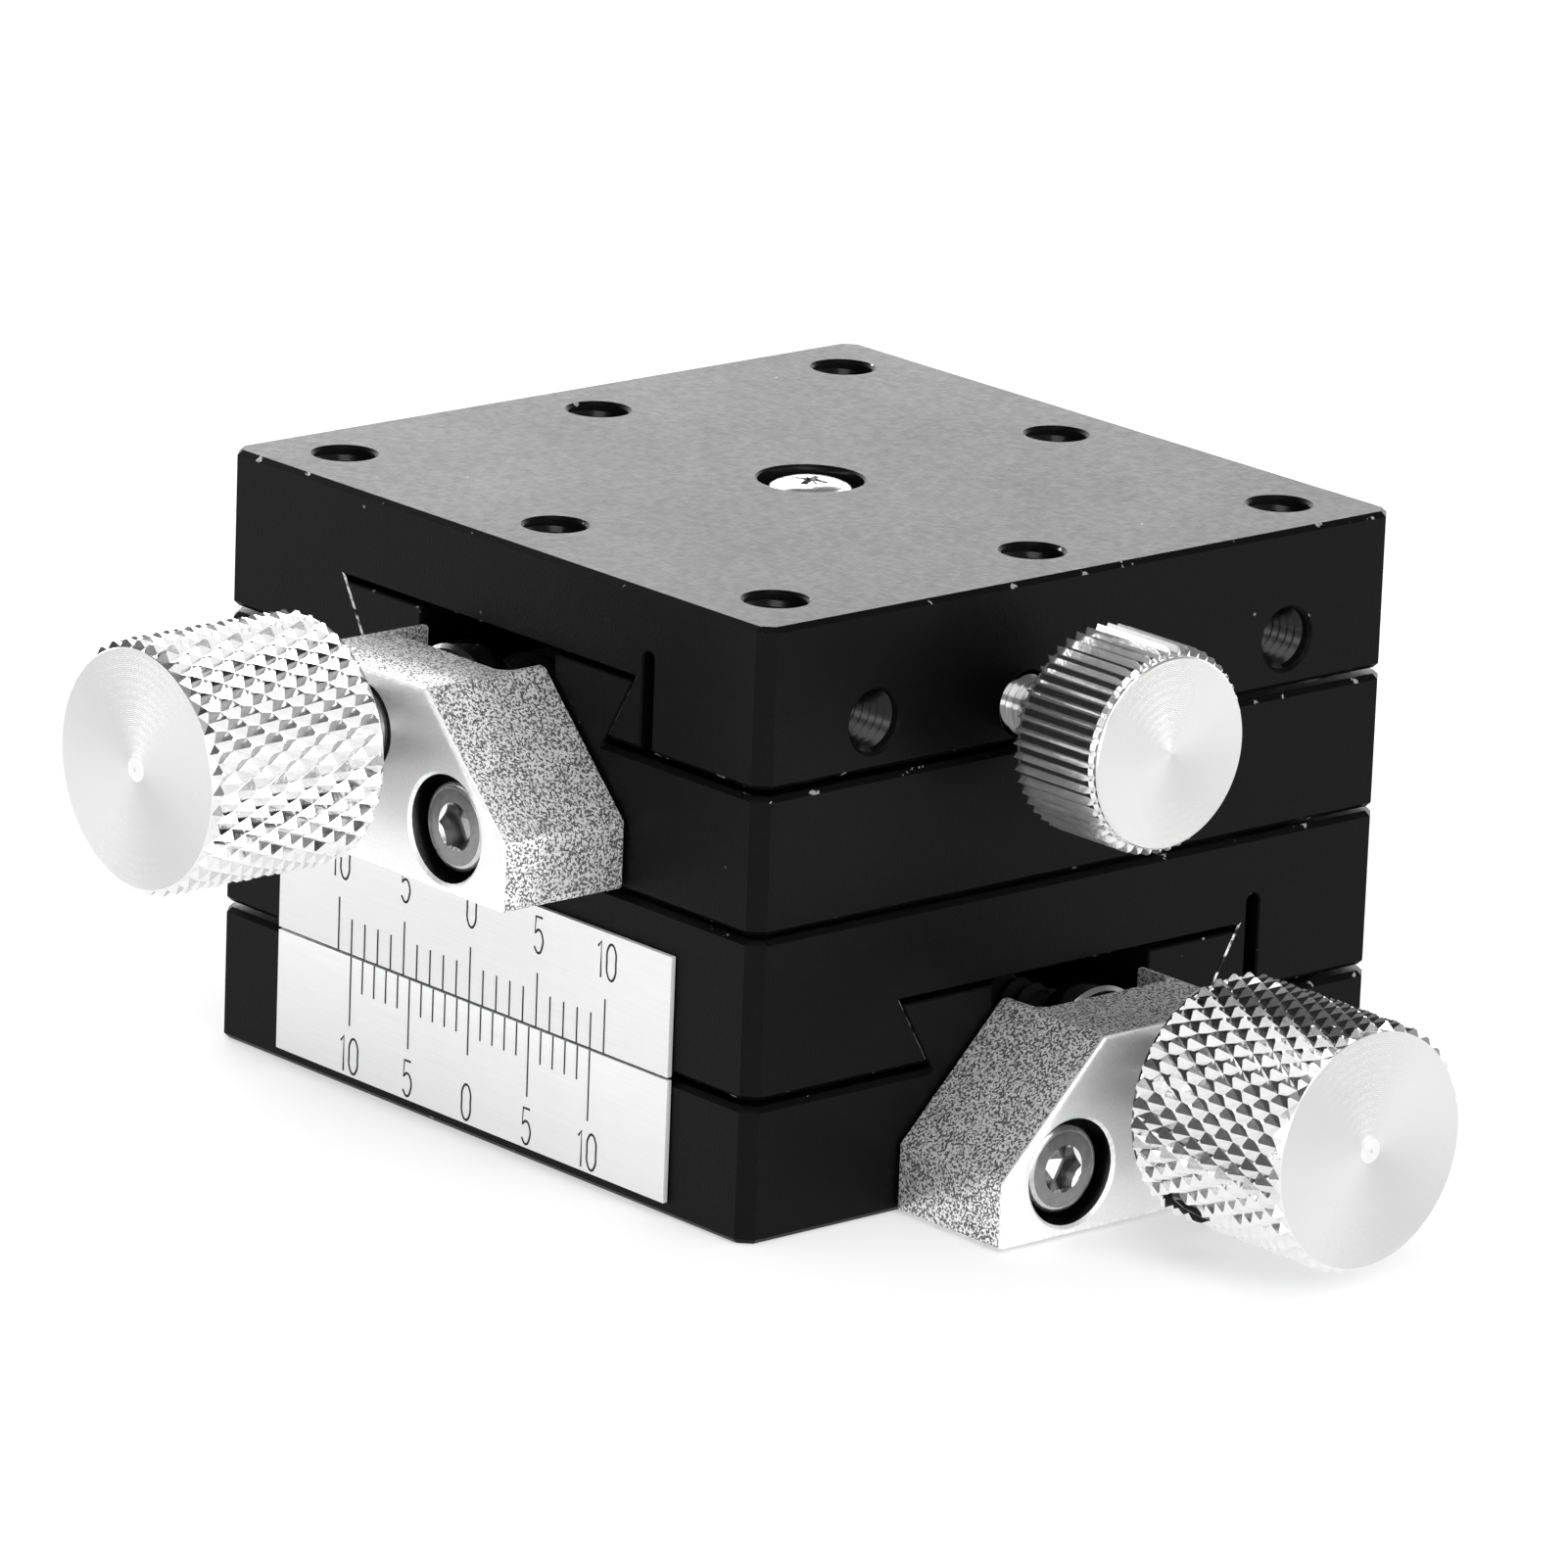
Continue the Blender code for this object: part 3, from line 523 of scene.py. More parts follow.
def started(name, finishes):
    """Names the new primitive, puts its place into its mesh and gives it its finishes."""
    made = bpy.context.active_object
    made.name = name
    bpy.ops.object.transform_apply(location=True, rotation=True, scale=True)
    for finish in finishes:
        made.data.materials.append(finish)
    return made


def block(name, low, high, *finishes):
    bpy.ops.object.select_all(action="DESELECT")
    middle = (Vector(low) + Vector(high)) / 2
    bpy.ops.mesh.primitive_cube_add(size=1, location=middle, scale=Vector(high) - Vector(low))
    return started(name, finishes)


@contextlib.contextmanager
def editing(made, kind="FACE"):
    alone(made)
    bpy.ops.object.mode_set(mode="EDIT")
    bpy.ops.mesh.select_mode(type=kind)
    bpy.ops.mesh.select_all(action="DESELECT")
    yield
    bpy.ops.object.mode_set(mode="OBJECT")


def pick(kind, test):
    """Selects those verts, edges or faces of the mesh in hand that pass the test."""
    bpy.ops.mesh.select_all(action="DESELECT")
    mesh = bpy.context.edit_object.data
    shape = bmesh.from_edit_mesh(mesh)
    for item in getattr(shape, kind):
        if test(item):
            item.select_set(True)
    bmesh.update_edit_mesh(mesh)


def coat(made, number, test):
    """Gives the faces whose middle passes the test another of the piece's finishes."""
    for face in made.data.polygons:
        if test(face.center, face.normal):
            face.material_index = number


def lathe(name, profile, sides, *finishes):
    """A piece turned about Z: a ring drawn out to each (radius, height), with closed ends."""
    radius, height = profile[0]
    bpy.ops.object.select_all(action="DESELECT")
    bpy.ops.mesh.primitive_circle_add(vertices=sides, radius=radius, location=(0, 0, height))
    made = started(name, finishes)
    with editing(made, "EDGE"):
        bpy.ops.mesh.select_all(action="SELECT")
        for next_radius, next_height in profile[1:]:
            bpy.ops.mesh.extrude_edges_move(TRANSFORM_OT_translate={"value": (0, 0, next_height - height)})
            growth = next_radius / radius
            bpy.ops.transform.resize(value=(growth, growth, 1), center_override=(0, 0, next_height))
            radius, height = next_radius, next_height
        close_up()
    return made


def close_up():
    bpy.ops.mesh.select_all(action="SELECT")
    bpy.ops.mesh.fill_holes(sides=0)
    bpy.ops.mesh.normals_make_consistent(inside=False)


def placed(made, *steps):
    """Moves a piece by matrices, in its mesh. The last one acts first."""
    whole = Matrix.Identity(4)
    for step in steps:
        whole = whole @ step
    made.data.transform(whole)
    return made


def at(x, y, z):
    return Matrix.Translation((x, y, z))


def join(pieces):
    bpy.ops.object.select_all(action="DESELECT")
    for piece in pieces:
        piece.select_set(True)
    bpy.context.view_layer.objects.active = pieces[0]
    bpy.ops.object.join()
    return pieces[0]


def copy_of(made):
    alone(made)
    bpy.ops.object.duplicate()
    return bpy.context.active_object


def repeated(made, places):
    """Copies of a piece at each place, joined. The first one is used up."""
    copies = [placed(copy_of(made), place) for place in places]
    bpy.data.objects.remove(made)
    return join(copies)


def cut(made, tool, operation="DIFFERENCE"):
    alone(made)
    change = made.modifiers.new("cut", "BOOLEAN")
    change.operation = operation
    change.solver = "EXACT"
    change.material_mode = "TRANSFER"
    change.object = tool
    bpy.ops.object.modifier_apply(modifier=change.name)
    bpy.data.objects.remove(tool)
    return made


def break_edges(made):
    """Breaks every edge sharper than BROKEN_ANGLE, and gives it the piece's second finish."""
    alone(made)
    change = made.modifiers.new("edges", "BEVEL")
    change.width = FINE_EDGE
    change.segments = 1
    change.limit_method = "ANGLE"
    change.angle_limit = BROKEN_ANGLE
    change.use_clamp_overlap = False
    change.material = 1
    bpy.ops.object.modifier_apply(modifier=change.name)


def shade(made, angle=SMOOTH):
    alone(made)
    bpy.ops.object.shade_smooth_by_angle(angle=angle)
    return made


def stage_copies(made, name, carrier, nodes, turns=None):
    """Copies a finished piece to both stages, each copy standing for that stage's own nodes."""
    for stage, place in STAGES.items():
        copy = copy_of(made)
        copy.name = stage + "_" + name
        turn = turns[stage] if turns else Matrix.Identity(4)
        placed(copy, place, turn)
        for number, finish in enumerate(copy.data.materials):
            copy.data.materials[number] = FINISHES[stage].get(finish.name, finish)
        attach(copy, CARRIERS[stage][carrier])
        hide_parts(*[stage + "_" + node for node in nodes])
    bpy.data.objects.remove(made)


def is_upright(edge):
    first, second = (vert.co for vert in edge.verts)
    return abs(first.z - second.z) > PLATE_EDGE and (first - second).xy.length < FINE_EDGE


def is_long(edge, length, low=-math.inf, high=math.inf):
    """Whether an edge runs along Y for more than the length, and lies between two heights."""
    first, second = (vert.co for vert in edge.verts)
    inside = low < min(first.z, second.z) and max(first.z, second.z) < high
    return inside and abs(first.y - second.y) > length


def groove_half(height):
    return ROOF_HALF - (ROOF - height) / math.tan(FLANK_ANGLE)


def plate(name, foot, top):
    """A square plate with cut corners and broken edges."""
    made = block(name, (-HALF_SIDE, -HALF_SIDE, foot), (HALF_SIDE, HALF_SIDE, top), BLACK, EDGE)
    with editing(made, "EDGE"):
        pick("edges", is_upright)
        bpy.ops.mesh.bevel(offset=PLATE_CORNER, offset_type="WIDTH", segments=1, affect="EDGES")
        pick("edges", lambda edge: not is_upright(edge))
        bpy.ops.mesh.bevel(offset=PLATE_EDGE, segments=1, affect="EDGES", material=1)
    return made


def tapered_bar(name, foot, foot_half, top, top_half, reach):
    """A bar along Y whose flanks lean."""
    made = block(name, (-top_half, -reach, foot), (top_half, reach, top), BLACK)
    with editing(made, "VERT"):
        pick("verts", lambda vert: vert.co.z < (foot + top) / 2)
        bpy.ops.transform.resize(value=(foot_half / top_half, 1, 1), center_override=(0, 0, foot))
    return made


def thread(name, root, crest, pitch, high, turns, finish, starts=1):
    """A ridge wound about Z, from the root radius to the crest radius, up to a height."""
    depth = abs(crest - root)
    facing = math.copysign(QUARTER, crest - root)
    lead = pitch * starts
    foot = high - lead * turns - THREAD_SHARE * pitch / 2
    bpy.ops.object.select_all(action="DESELECT")
    bpy.ops.mesh.primitive_circle_add(
        vertices=3, radius=depth / 1.5, location=(root, 0, foot), rotation=(QUARTER, facing, 0)
    )
    made = started(name, (finish,))
    with editing(made, "VERT"):
        bpy.ops.mesh.select_all(action="SELECT")
        growth = THREAD_SHARE * pitch / 2 / (depth / 1.5 * math.cos(HEX_HALF))
        bpy.ops.transform.resize(value=(1, 1, growth), center_override=(root, 0, foot))
        bpy.ops.transform.translate(value=((crest - root) / 3, 0, 0))
    winding = made.modifiers.new("winding", "SCREW")
    winding.steps = THREAD_STEPS
    winding.render_steps = THREAD_STEPS
    winding.screw_offset = lead
    winding.iterations = turns
    alone(made)
    bpy.ops.object.modifier_apply(modifier=winding.name)
    with editing(made):
        close_up()
    if starts > 1:
        turns = [Matrix.Rotation(2 * HALF_TURN * start / starts, 4, "Z") for start in range(starts)]
        made = repeated(made, turns)
    return made


def tapped_thread(name, turns):
    """The thread of a tapped hole. Its flanks that face the mouth take a brighter steel finish, a painted
    glint.
    """
    high = TAPPED_RADIUS - TAPPED_MOUTH
    winding = thread(name, TAPPED_RADIUS, TAPPED_CREST, THREAD_PITCH, high, turns, THREAD)
    winding.data.materials.append(PAINTED_GLINT)
    # Painted glint: the flanks that face the mouth take the brighter steel.
    coat(winding, 1, lambda middle, normal: normal.z > 0.2)
    return winding


def hole_tool(name, radius, mouth, depth, *finishes):
    """A drill that also breaks the mouth. It goes down from height 0."""
    lip = mouth - radius
    point = -depth - radius * DRILL_POINT_SHARE
    profile = [(mouth + SHORT_OVERRUN, SHORT_OVERRUN), (radius, -lip), (radius, -depth)]
    profile.append((radius * 0.2, point))
    tool = lathe(name, profile, 40, *finishes)
    coat(tool, 1, lambda middle, normal: middle.z > -lip)
    return tool


def seat_tool(name, radius, lip, depth, *finishes):
    """A counterbore: the drill with its point pushed flat."""
    tool = hole_tool(name, radius, radius + lip, depth, *finishes)
    with editing(tool, "VERT"):
        pick("verts", lambda vert: vert.co.z < -depth - FINE_EDGE)
        bpy.ops.transform.translate(value=(0, 0, radius * DRILL_POINT_SHARE))
    return tool


def is_flank_end(middle, normal):
    """Whether a face is part of the broken edge between a groove flank and an end of the plate."""
    reach = abs(abs(middle.x) - groove_half(middle.z))
    at_end = abs(middle.y) > HALF_SIDE - FINE_EDGE and middle.z < ROOF
    return at_end and 0 < reach < FINE_EDGE and abs(normal.y) < 0.9


def slide_table():
    made = plate("slide_table", TABLE_FOOT, TABLE_TOP)
    made.data.materials.append(SCRAPED)
    reach = HALF_SIDE + OVERRUN
    below = TABLE_FOOT - OVERRUN
    cut(made, tapered_bar("groove", below, groove_half(below), ROOF, ROOF_HALF, reach))
    slit = block("slit", (SLIT_INNER, -reach, below), (SLIT_INNER + SLIT_WIDTH, reach, SLIT_TOP), BLACK)
    with editing(slit, "EDGE"):
        pick("edges", lambda edge: is_long(edge, reach, low=ROOF))
        bpy.ops.mesh.bevel(offset=SLIT_WIDTH * 0.49, segments=6, affect="EDGES")
    cut(made, slit)
    break_edges(made)
    coat(made, 2, is_flank_end)
    sites = [(x, y) for x in (-GRID, 0, GRID) for y in (-GRID, 0, GRID) if (x, y) != (0, 0)]
    grid_sites = [at(x, y, TABLE_TOP) for x, y in sites]
    side_sites = [at(HALF_SIDE, y, SIDE_HOLE_HEIGHT) for y in (-SIDE_HOLE_PLACE, SIDE_HOLE_PLACE)]
    grid = hole_tool("grid", TAPPED_RADIUS, TAPPED_MOUTH, TAPPED_DEPTH, THREAD, EDGE)
    cut(made, repeated(grid, grid_sites))
    seat = seat_tool("pan_seat", PAN_SEAT_RADIUS, LIP, TABLE_TOP - PAN_SEAT, THREAD, EDGE)
    cut(made, placed(seat, at(0, 0, TABLE_TOP)))
    pan_hole = [(PAN_HOLE_RADIUS, PAN_SEAT + OVERRUN), (PAN_HOLE_RADIUS, ROOF - OVERRUN)]
    cut(made, lathe("pan_hole", pan_hole, 24, THREAD))
    wall = HALF_SIDE - SLIT_INNER
    side = hole_tool("side_holes", TAPPED_RADIUS, TAPPED_MOUTH, wall, THREAD, EDGE)
    cut(made, repeated(placed(side, SIDE), side_sites))
    lock = hole_tool("lock_hole", LOCK_HOLE_RADIUS, LOCK_HOLE_RADIUS + LIP, wall, THREAD, EDGE)
    cut(made, placed(lock, at(HALF_SIDE, -LOCK_OFFSET, LOCK_HEIGHT), SIDE))
    grid_thread = repeated(tapped_thread("grid_thread", GRID_TURNS), grid_sites)
    side_thread = repeated(placed(tapped_thread("side_thread", SIDE_TURNS), SIDE), side_sites)
    made = shade(join([made, grid_thread, side_thread]))
    stage_copies(made, "slide_table", "table", ["table"])


def foot_plate():
    made = plate("foot_plate", 0, BASE_THICK)
    foot_half = groove_half(BASE_THICK) - FLANK_GAP
    top_half = groove_half(RAIL_TOP) - FLANK_GAP
    rail = tapered_bar("rail", BASE_THICK - OVERRUN, foot_half, RAIL_TOP, top_half, HALF_SIDE)
    with editing(rail, "VERT"):
        pick("verts", lambda vert: vert.co.z < BASE_THICK)
        bpy.ops.transform.translate(value=(0, 0, OVERRUN))
        bpy.ops.mesh.select_mode(type="FACE")
        pick("faces", lambda face: face.normal.z < -0.9)
        bpy.ops.mesh.extrude_region_move(TRANSFORM_OT_translate={"value": (0, 0, -OVERRUN)})
    cut(made, rail, "UNION")
    reach = HALF_SIDE + OVERRUN
    channel = block(
        "channel", (-CHANNEL_HALF, -reach, CHANNEL_FLOOR), (CHANNEL_HALF, reach, RAIL_TOP + OVERRUN), BLACK
    )
    with editing(channel, "EDGE"):
        pick("edges", lambda edge: is_long(edge, reach, high=BASE_THICK))
        bpy.ops.mesh.bevel(offset=CHANNEL_HALF * 0.998, segments=14, affect="EDGES")
    cut(made, channel)
    break_edges(made)
    corners = [(x, y) for x in (-GRID, GRID) for y in (-GRID, GRID)]
    seat = seat_tool("seat", BOLT_SEAT_RADIUS, LIP, BASE_THICK - BOLT_SEAT, BLACK, EDGE)
    cut(made, repeated(seat, [at(x, y, BASE_THICK) for x, y in corners]))
    bolt_hole = [(BOLT_HOLE_RADIUS, BOLT_SEAT + OVERRUN), (BOLT_HOLE_RADIUS, -OVERRUN)]
    cut(made, repeated(lathe("bolt_hole", bolt_hole, 32, BLACK), [at(x, y, 0) for x, y in corners]))
    stage_copies(shade(made), "foot_plate", "base", ["base"])


def end_bracket():
    made = block(
        "end_bracket",
        (-BRACKET_HALF, -BRACKET_FRONT, BRACKET_FOOT),
        (BRACKET_HALF, -BRACKET_REAR, BRACKET_TOP),
        BLASTED,
        MILLED,
        FACED,
    )
    depth = BRACKET_FRONT - BRACKET_REAR
    with editing(made, "EDGE"):
        pick("edges", lambda edge: is_long(edge, depth / 2, low=FEED_HEIGHT))
        bpy.ops.mesh.bevel(offset=BRACKET_SLOPE, segments=1, affect="EDGES")
        bpy.ops.mesh.select_all(action="SELECT")
        bpy.ops.mesh.bevel(offset=BRACKET_EDGE, segments=3, affect="EDGES", material=1)
    coat(made, 0, lambda middle, normal: middle.y > BRACKET_EDGE - BRACKET_FRONT)
    pocket = block(
        "pocket",
        (-POCKET_HALF, -POCKET_FRONT, POCKET_FOOT),
        (POCKET_HALF, -BRACKET_REAR + OVERRUN, BRACKET_TOP + OVERRUN),
        BLASTED,
    )
    with editing(pocket, "EDGE"):
        pick("edges", lambda edge: is_upright(edge) and edge.verts[0].co.y < -BRACKET_REAR)
        bpy.ops.mesh.bevel(offset=POCKET_CORNER, segments=6, affect="EDGES")
    cut(made, pocket)
    bore = lathe("bore", [(SHAFT_BORE + LIP, 0.0), (SHAFT_BORE, LIP), (SHAFT_BORE, BORE_REACH)], 48, MILLED)
    face = at(0, -BRACKET_FRONT - HAIR, FEED_HEIGHT)
    cut(made, placed(bore, face, Matrix.Rotation(-QUARTER, 4, "X")))
    seat_depth = BRACKET_FRONT - BRACKET_SCREW_SEAT
    # The counterbore and screw hole walls take a painted shade, darker steel than the bracket.
    seat = seat_tool("screw_seat", BRACKET_SEAT_RADIUS, BRACKET_SEAT_LIP, seat_depth, PAINTED_SEAT_SHADE, MILLED)
    sites = [at(x, -BRACKET_FRONT, BRACKET_SCREW_Z) for x in (-BRACKET_SCREW_X, BRACKET_SCREW_X)]
    cut(made, repeated(placed(seat, FRONT), sites))
    over = -seat_depth + SHORT_OVERRUN
    screw_hole = [(BRACKET_SCREW_HOLE, over), (BRACKET_SCREW_HOLE, -BRACKET_HOLE_REACH)]
    cut(made, repeated(placed(lathe("screw_hole", screw_hole, 24, PAINTED_SEAT_SHADE), FRONT), sites))
    coat(made, 2, lambda middle, normal: middle.y < FINE_EDGE - BRACKET_FRONT and normal.y < -0.99)
    stage_copies(shade(made), "end_bracket", "base", ["bracket"])


def socket_screw(name):
    """The bracket's socket cap screw about Z, its seat at height 0."""
    core = BRACKET_SCREW_CORE
    head = BRACKET_SCREW_HEAD_RADIUS
    height = BRACKET_SCREW_HEAD_HEIGHT
    profile = [
        (core * 0.6, -BRACKET_SCREW_REACH),
        (core, -BRACKET_SCREW_REACH + TIP_CHAMFER),
        (core, 0),
        (head - HEAD_EDGE, 0),
        (head, HEAD_EDGE),
    ]
    for step in range(5):
        angle = QUARTER * step / 4
        back = BRACKET_SCREW_ROUNDING * (1 - math.cos(angle))
        profile.append((head - back, height - BRACKET_SCREW_ROUNDING * (1 - math.sin(angle))))
    made = lathe(name, profile, 48, SCREW, SHADED_SCREW_FACE)
    # Painted shade: the head's flat top takes darker steel than its sides.
    coat(made, 1, lambda middle, normal: normal.z > 0.99)
    corner = BRACKET_SCREW_SOCKET / 2 / math.cos(HEX_HALF)
    depth = height * 0.5
    recess = [(CENTRE, -depth - corner * 0.35), (corner * 0.92, -depth), (corner, -depth)]
    recess.append((corner, SHORT_OVERRUN))
    # Painted shade: the hex socket takes a darker steel than the head.
    socket = lathe("socket", recess, 6, RECESS_SHADE)
    cut(made, placed(socket, at(0, 0, height), Matrix.Rotation(HEX_HALF, 4, "Z")))
    # Painted highlight: the socket's mouth takes the bright nickel of the knob.
    mouth = lathe("mouth", [(corner * 0.85, -corner * 0.14), (corner * 1.15, corner * 0.12)], 32, KNURL)
    cut(made, placed(mouth, at(0, 0, height)))
    return shade(made)


def bracket_screws():
    made = placed(socket_screw("bracket_screw"), FRONT)
    seat = -BRACKET_SCREW_SEAT - SEAT_GAP
    for side, x in (("left", -BRACKET_SCREW_X), ("right", BRACKET_SCREW_X)):
        screw = placed(copy_of(made), at(x, seat, BRACKET_SCREW_Z))
        stage_copies(screw, "socket_screw_" + side, "base", ["bracket_screw_" + side])
    bpy.data.objects.remove(made)


def grub_screw(name, length):
    """A set screw about Z, its tip at height 0."""
    profile = [
        (GRUB_TIP, 0),
        (GRUB_CONE, GRUB_CHAMFER),
        (GRUB_RADIUS, GRUB_CHAMFER),
        (GRUB_RADIUS, length - GRUB_CHAMFER),
        (GRUB_END, length),
    ]
    made = lathe(name, profile, 32, DARK)
    corner = GRUB_SOCKET / math.cos(HEX_HALF)
    recess = [(CENTRE, length * 0.4), (corner, length * 0.5), (corner, length + SHORT_OVERRUN)]
    return shade(cut(made, lathe("socket", recess, 6, DARK)))


def set_screws():
    made = placed(grub_screw("gib_screw", GIB_SCREW_LENGTH), SIDE)
    x = SLIT_INNER + SLIT_WIDTH / 4
    for side, y in (("front", -SIDE_HOLE_PLACE), ("rear", SIDE_HOLE_PLACE)):
        screw = placed(copy_of(made), at(x, y, SIDE_HOLE_HEIGHT))
        stage_copies(screw, "grub_screw_" + side, "table", ["gib_screw_" + side])
    bpy.data.objects.remove(made)
    made = grub_screw("knob_screw", KNOB_RADIUS - KNOB_SCREW_SINK - KNOB_SCREW_FOOT)
    placed(made, at(0, 0, KNOB_SCREW_PLACE), SIDE, at(0, 0, KNOB_SCREW_FOOT))
    stage_copies(made, "knob_grub_screw", "feed", ["knob_set_screw"], knob_places())


def knob_places():
    """Where each stage's knob frame stands: about the feed axis, outwards from its inner face."""
    return {
        stage: at(0, -KNOB_PLACE, FEED_HEIGHT) @ FRONT @ Matrix.Rotation(KNOB_TURN[stage], 4, "Z")
        for stage in STAGES
    }


def knurled_knob():
    """Every other point of the knurl's rings is drawn in, and pyramids stand between crossing grooves."""
    sides = 2 * KNURL_COLUMNS
    step = (KNURL_END - KNURL_START) / KNURL_STEPS
    rings = [(KNOB_RADIUS, KNURL_START + step * count) for count in range(KNURL_STEPS + 1)]
    made = lathe(
        "knurled_knob",
        [
            (BORE_CENTRE, KNOB_BORE_END),
            (SHAFT_BORE, KNOB_BORE_END),
            (SHAFT_BORE, LIP),
            (SHAFT_BORE + LIP, 0),
            (KNOB_RIM - KNOB_RIM_CHAMFER, 0),
            (KNOB_RIM, KNOB_RIM_START),
            (KNOB_RIM, KNOB_RIM_END),
        ]
        + rings
        + [
            (KNOB_SHOULDER + KNOB_EDGE, KNOB_FACE - KNOB_FILLET),
            (KNOB_SHOULDER, KNOB_FACE),
            (KNOB_TIP_FOOT, KNOB_FACE),
            (KNOB_TIP, KNOB_FACE + KNOB_FILLET),
            (CENTRE, KNOB_LENGTH - KNOB_EDGE),
        ],
        sides,
        KNURL,
        KNOB_FACE_FINISH,
    )

    def is_foot(vert):
        column = round(math.atan2(vert.co.y, vert.co.x) / (2 * math.pi) * sides)
        ring = round((vert.co.z - KNURL_START) / step)
        return vert.co.xy.length > KNOB_RADIUS - FINE_EDGE and (column + ring) % 2 == 1

    def is_tip(vert):
        return vert.co.xy.length > KNOB_RADIUS - FINE_EDGE and len(vert.link_edges) == 4

    with editing(made, "VERT"):
        pick("verts", is_foot)
        sink = 1 - KNURL_DEPTH / KNOB_RADIUS
        bpy.ops.transform.resize(value=(sink, sink, 1), center_override=(0, 0, 0))
        pick("faces", lambda face: face.calc_center_median().xy.length > KNOB_SHOULDER)
        bpy.ops.mesh.quads_convert_to_tris(quad_method="SHORTEST_DIAGONAL")
    with editing(made, "VERT"):
        pick("verts", is_tip)
        bpy.ops.mesh.bevel(offset=KNURL_TIP, segments=1, affect="VERTICES")
    coat(made, 1, lambda middle, normal: abs(normal.z) > 0.99)
    screw_hole = [(KNOB_SCREW_HOLE, KNOB_HOLE_FOOT), (KNOB_SCREW_HOLE, KNOB_RADIUS + OVERRUN)]
    # Painted shade: the walls of the set screw hole take the dark steel.
    hole = lathe("screw_hole", screw_hole, 32, DARK)
    cut(made, placed(hole, at(0, 0, KNOB_SCREW_PLACE), SIDE))
    shade(made, FACET_SMOOTH)
    stage_copies(made, "knurled_knob", "feed", ["knob"], knob_places())


def feed_shaft():
    """The shaft, its collar and its thread, about the feed axis and outwards from the base's end face."""
    chamfer = SHAFT_CHAMFER
    end = KNOB_PLACE - HALF_SIDE + SHAFT_IN_KNOB
    made = lathe(
        "feed_shaft",
        [
            (SHAFT_RADIUS - 2 * chamfer, SHAFT_TIP),
            (SHAFT_RADIUS - chamfer, SHAFT_TIP + chamfer),
            (SHAFT_RADIUS - chamfer, FEED_STEP[0]),
            (SHAFT_RADIUS, FEED_STEP[1]),
            (SHAFT_RADIUS, COLLAR_REAR),
            (COLLAR_RADIUS - chamfer, COLLAR_REAR),
            (COLLAR_RADIUS, COLLAR_REAR + chamfer),
            (COLLAR_RADIUS, COLLAR_FRONT - chamfer),
            (COLLAR_RADIUS - chamfer, COLLAR_FRONT),
            (SHAFT_RADIUS, COLLAR_FRONT),
            (SHAFT_RADIUS, end - chamfer),
            (SHAFT_RADIUS - chamfer, end),
        ],
        64,
        SHAFT,
        DARK,
    )
    coat(made, 1, lambda middle, normal: middle.z < 0)
    root = SHAFT_RADIUS - chamfer
    winding = thread(
        "feed_thread", root, SHAFT_RADIUS, FEED_PITCH, FEED_THREAD_END, FEED_TURNS, DARK, FEED_STARTS
    )
    made = shade(join([made, winding]))
    places = {stage: at(0, -HALF_SIDE, FEED_HEIGHT) @ FRONT for stage in STAGES}
    stage_copies(made, "feed_shaft", "feed", ["feed_screw"], places)


def lock_places():
    place = at(HALF_SIDE, -LOCK_OFFSET, LOCK_HEIGHT) @ SIDE
    return {stage: place for stage in STAGES}


def lock_stem():
    tip = SLIT_INNER + SLIT_WIDTH / 4 - HALF_SIDE
    root = TAPPED_CREST
    profile = [(root - TIP_CHAMFER, tip), (root, tip + TIP_CHAMFER), (root, LOCK_STANDOFF + STEM_IN_HEAD)]
    made = lathe("lock_stem", profile, 48, DARK)
    high = LOCK_STANDOFF + SEAT_GAP
    winding = thread("stem_thread", root, STEM_CREST, THREAD_PITCH, high, STEM_TURNS, STEM)
    made = shade(join([made, winding]))
    stage_copies(made, "lock_stem", "lock", ["lock_screw"], lock_places())


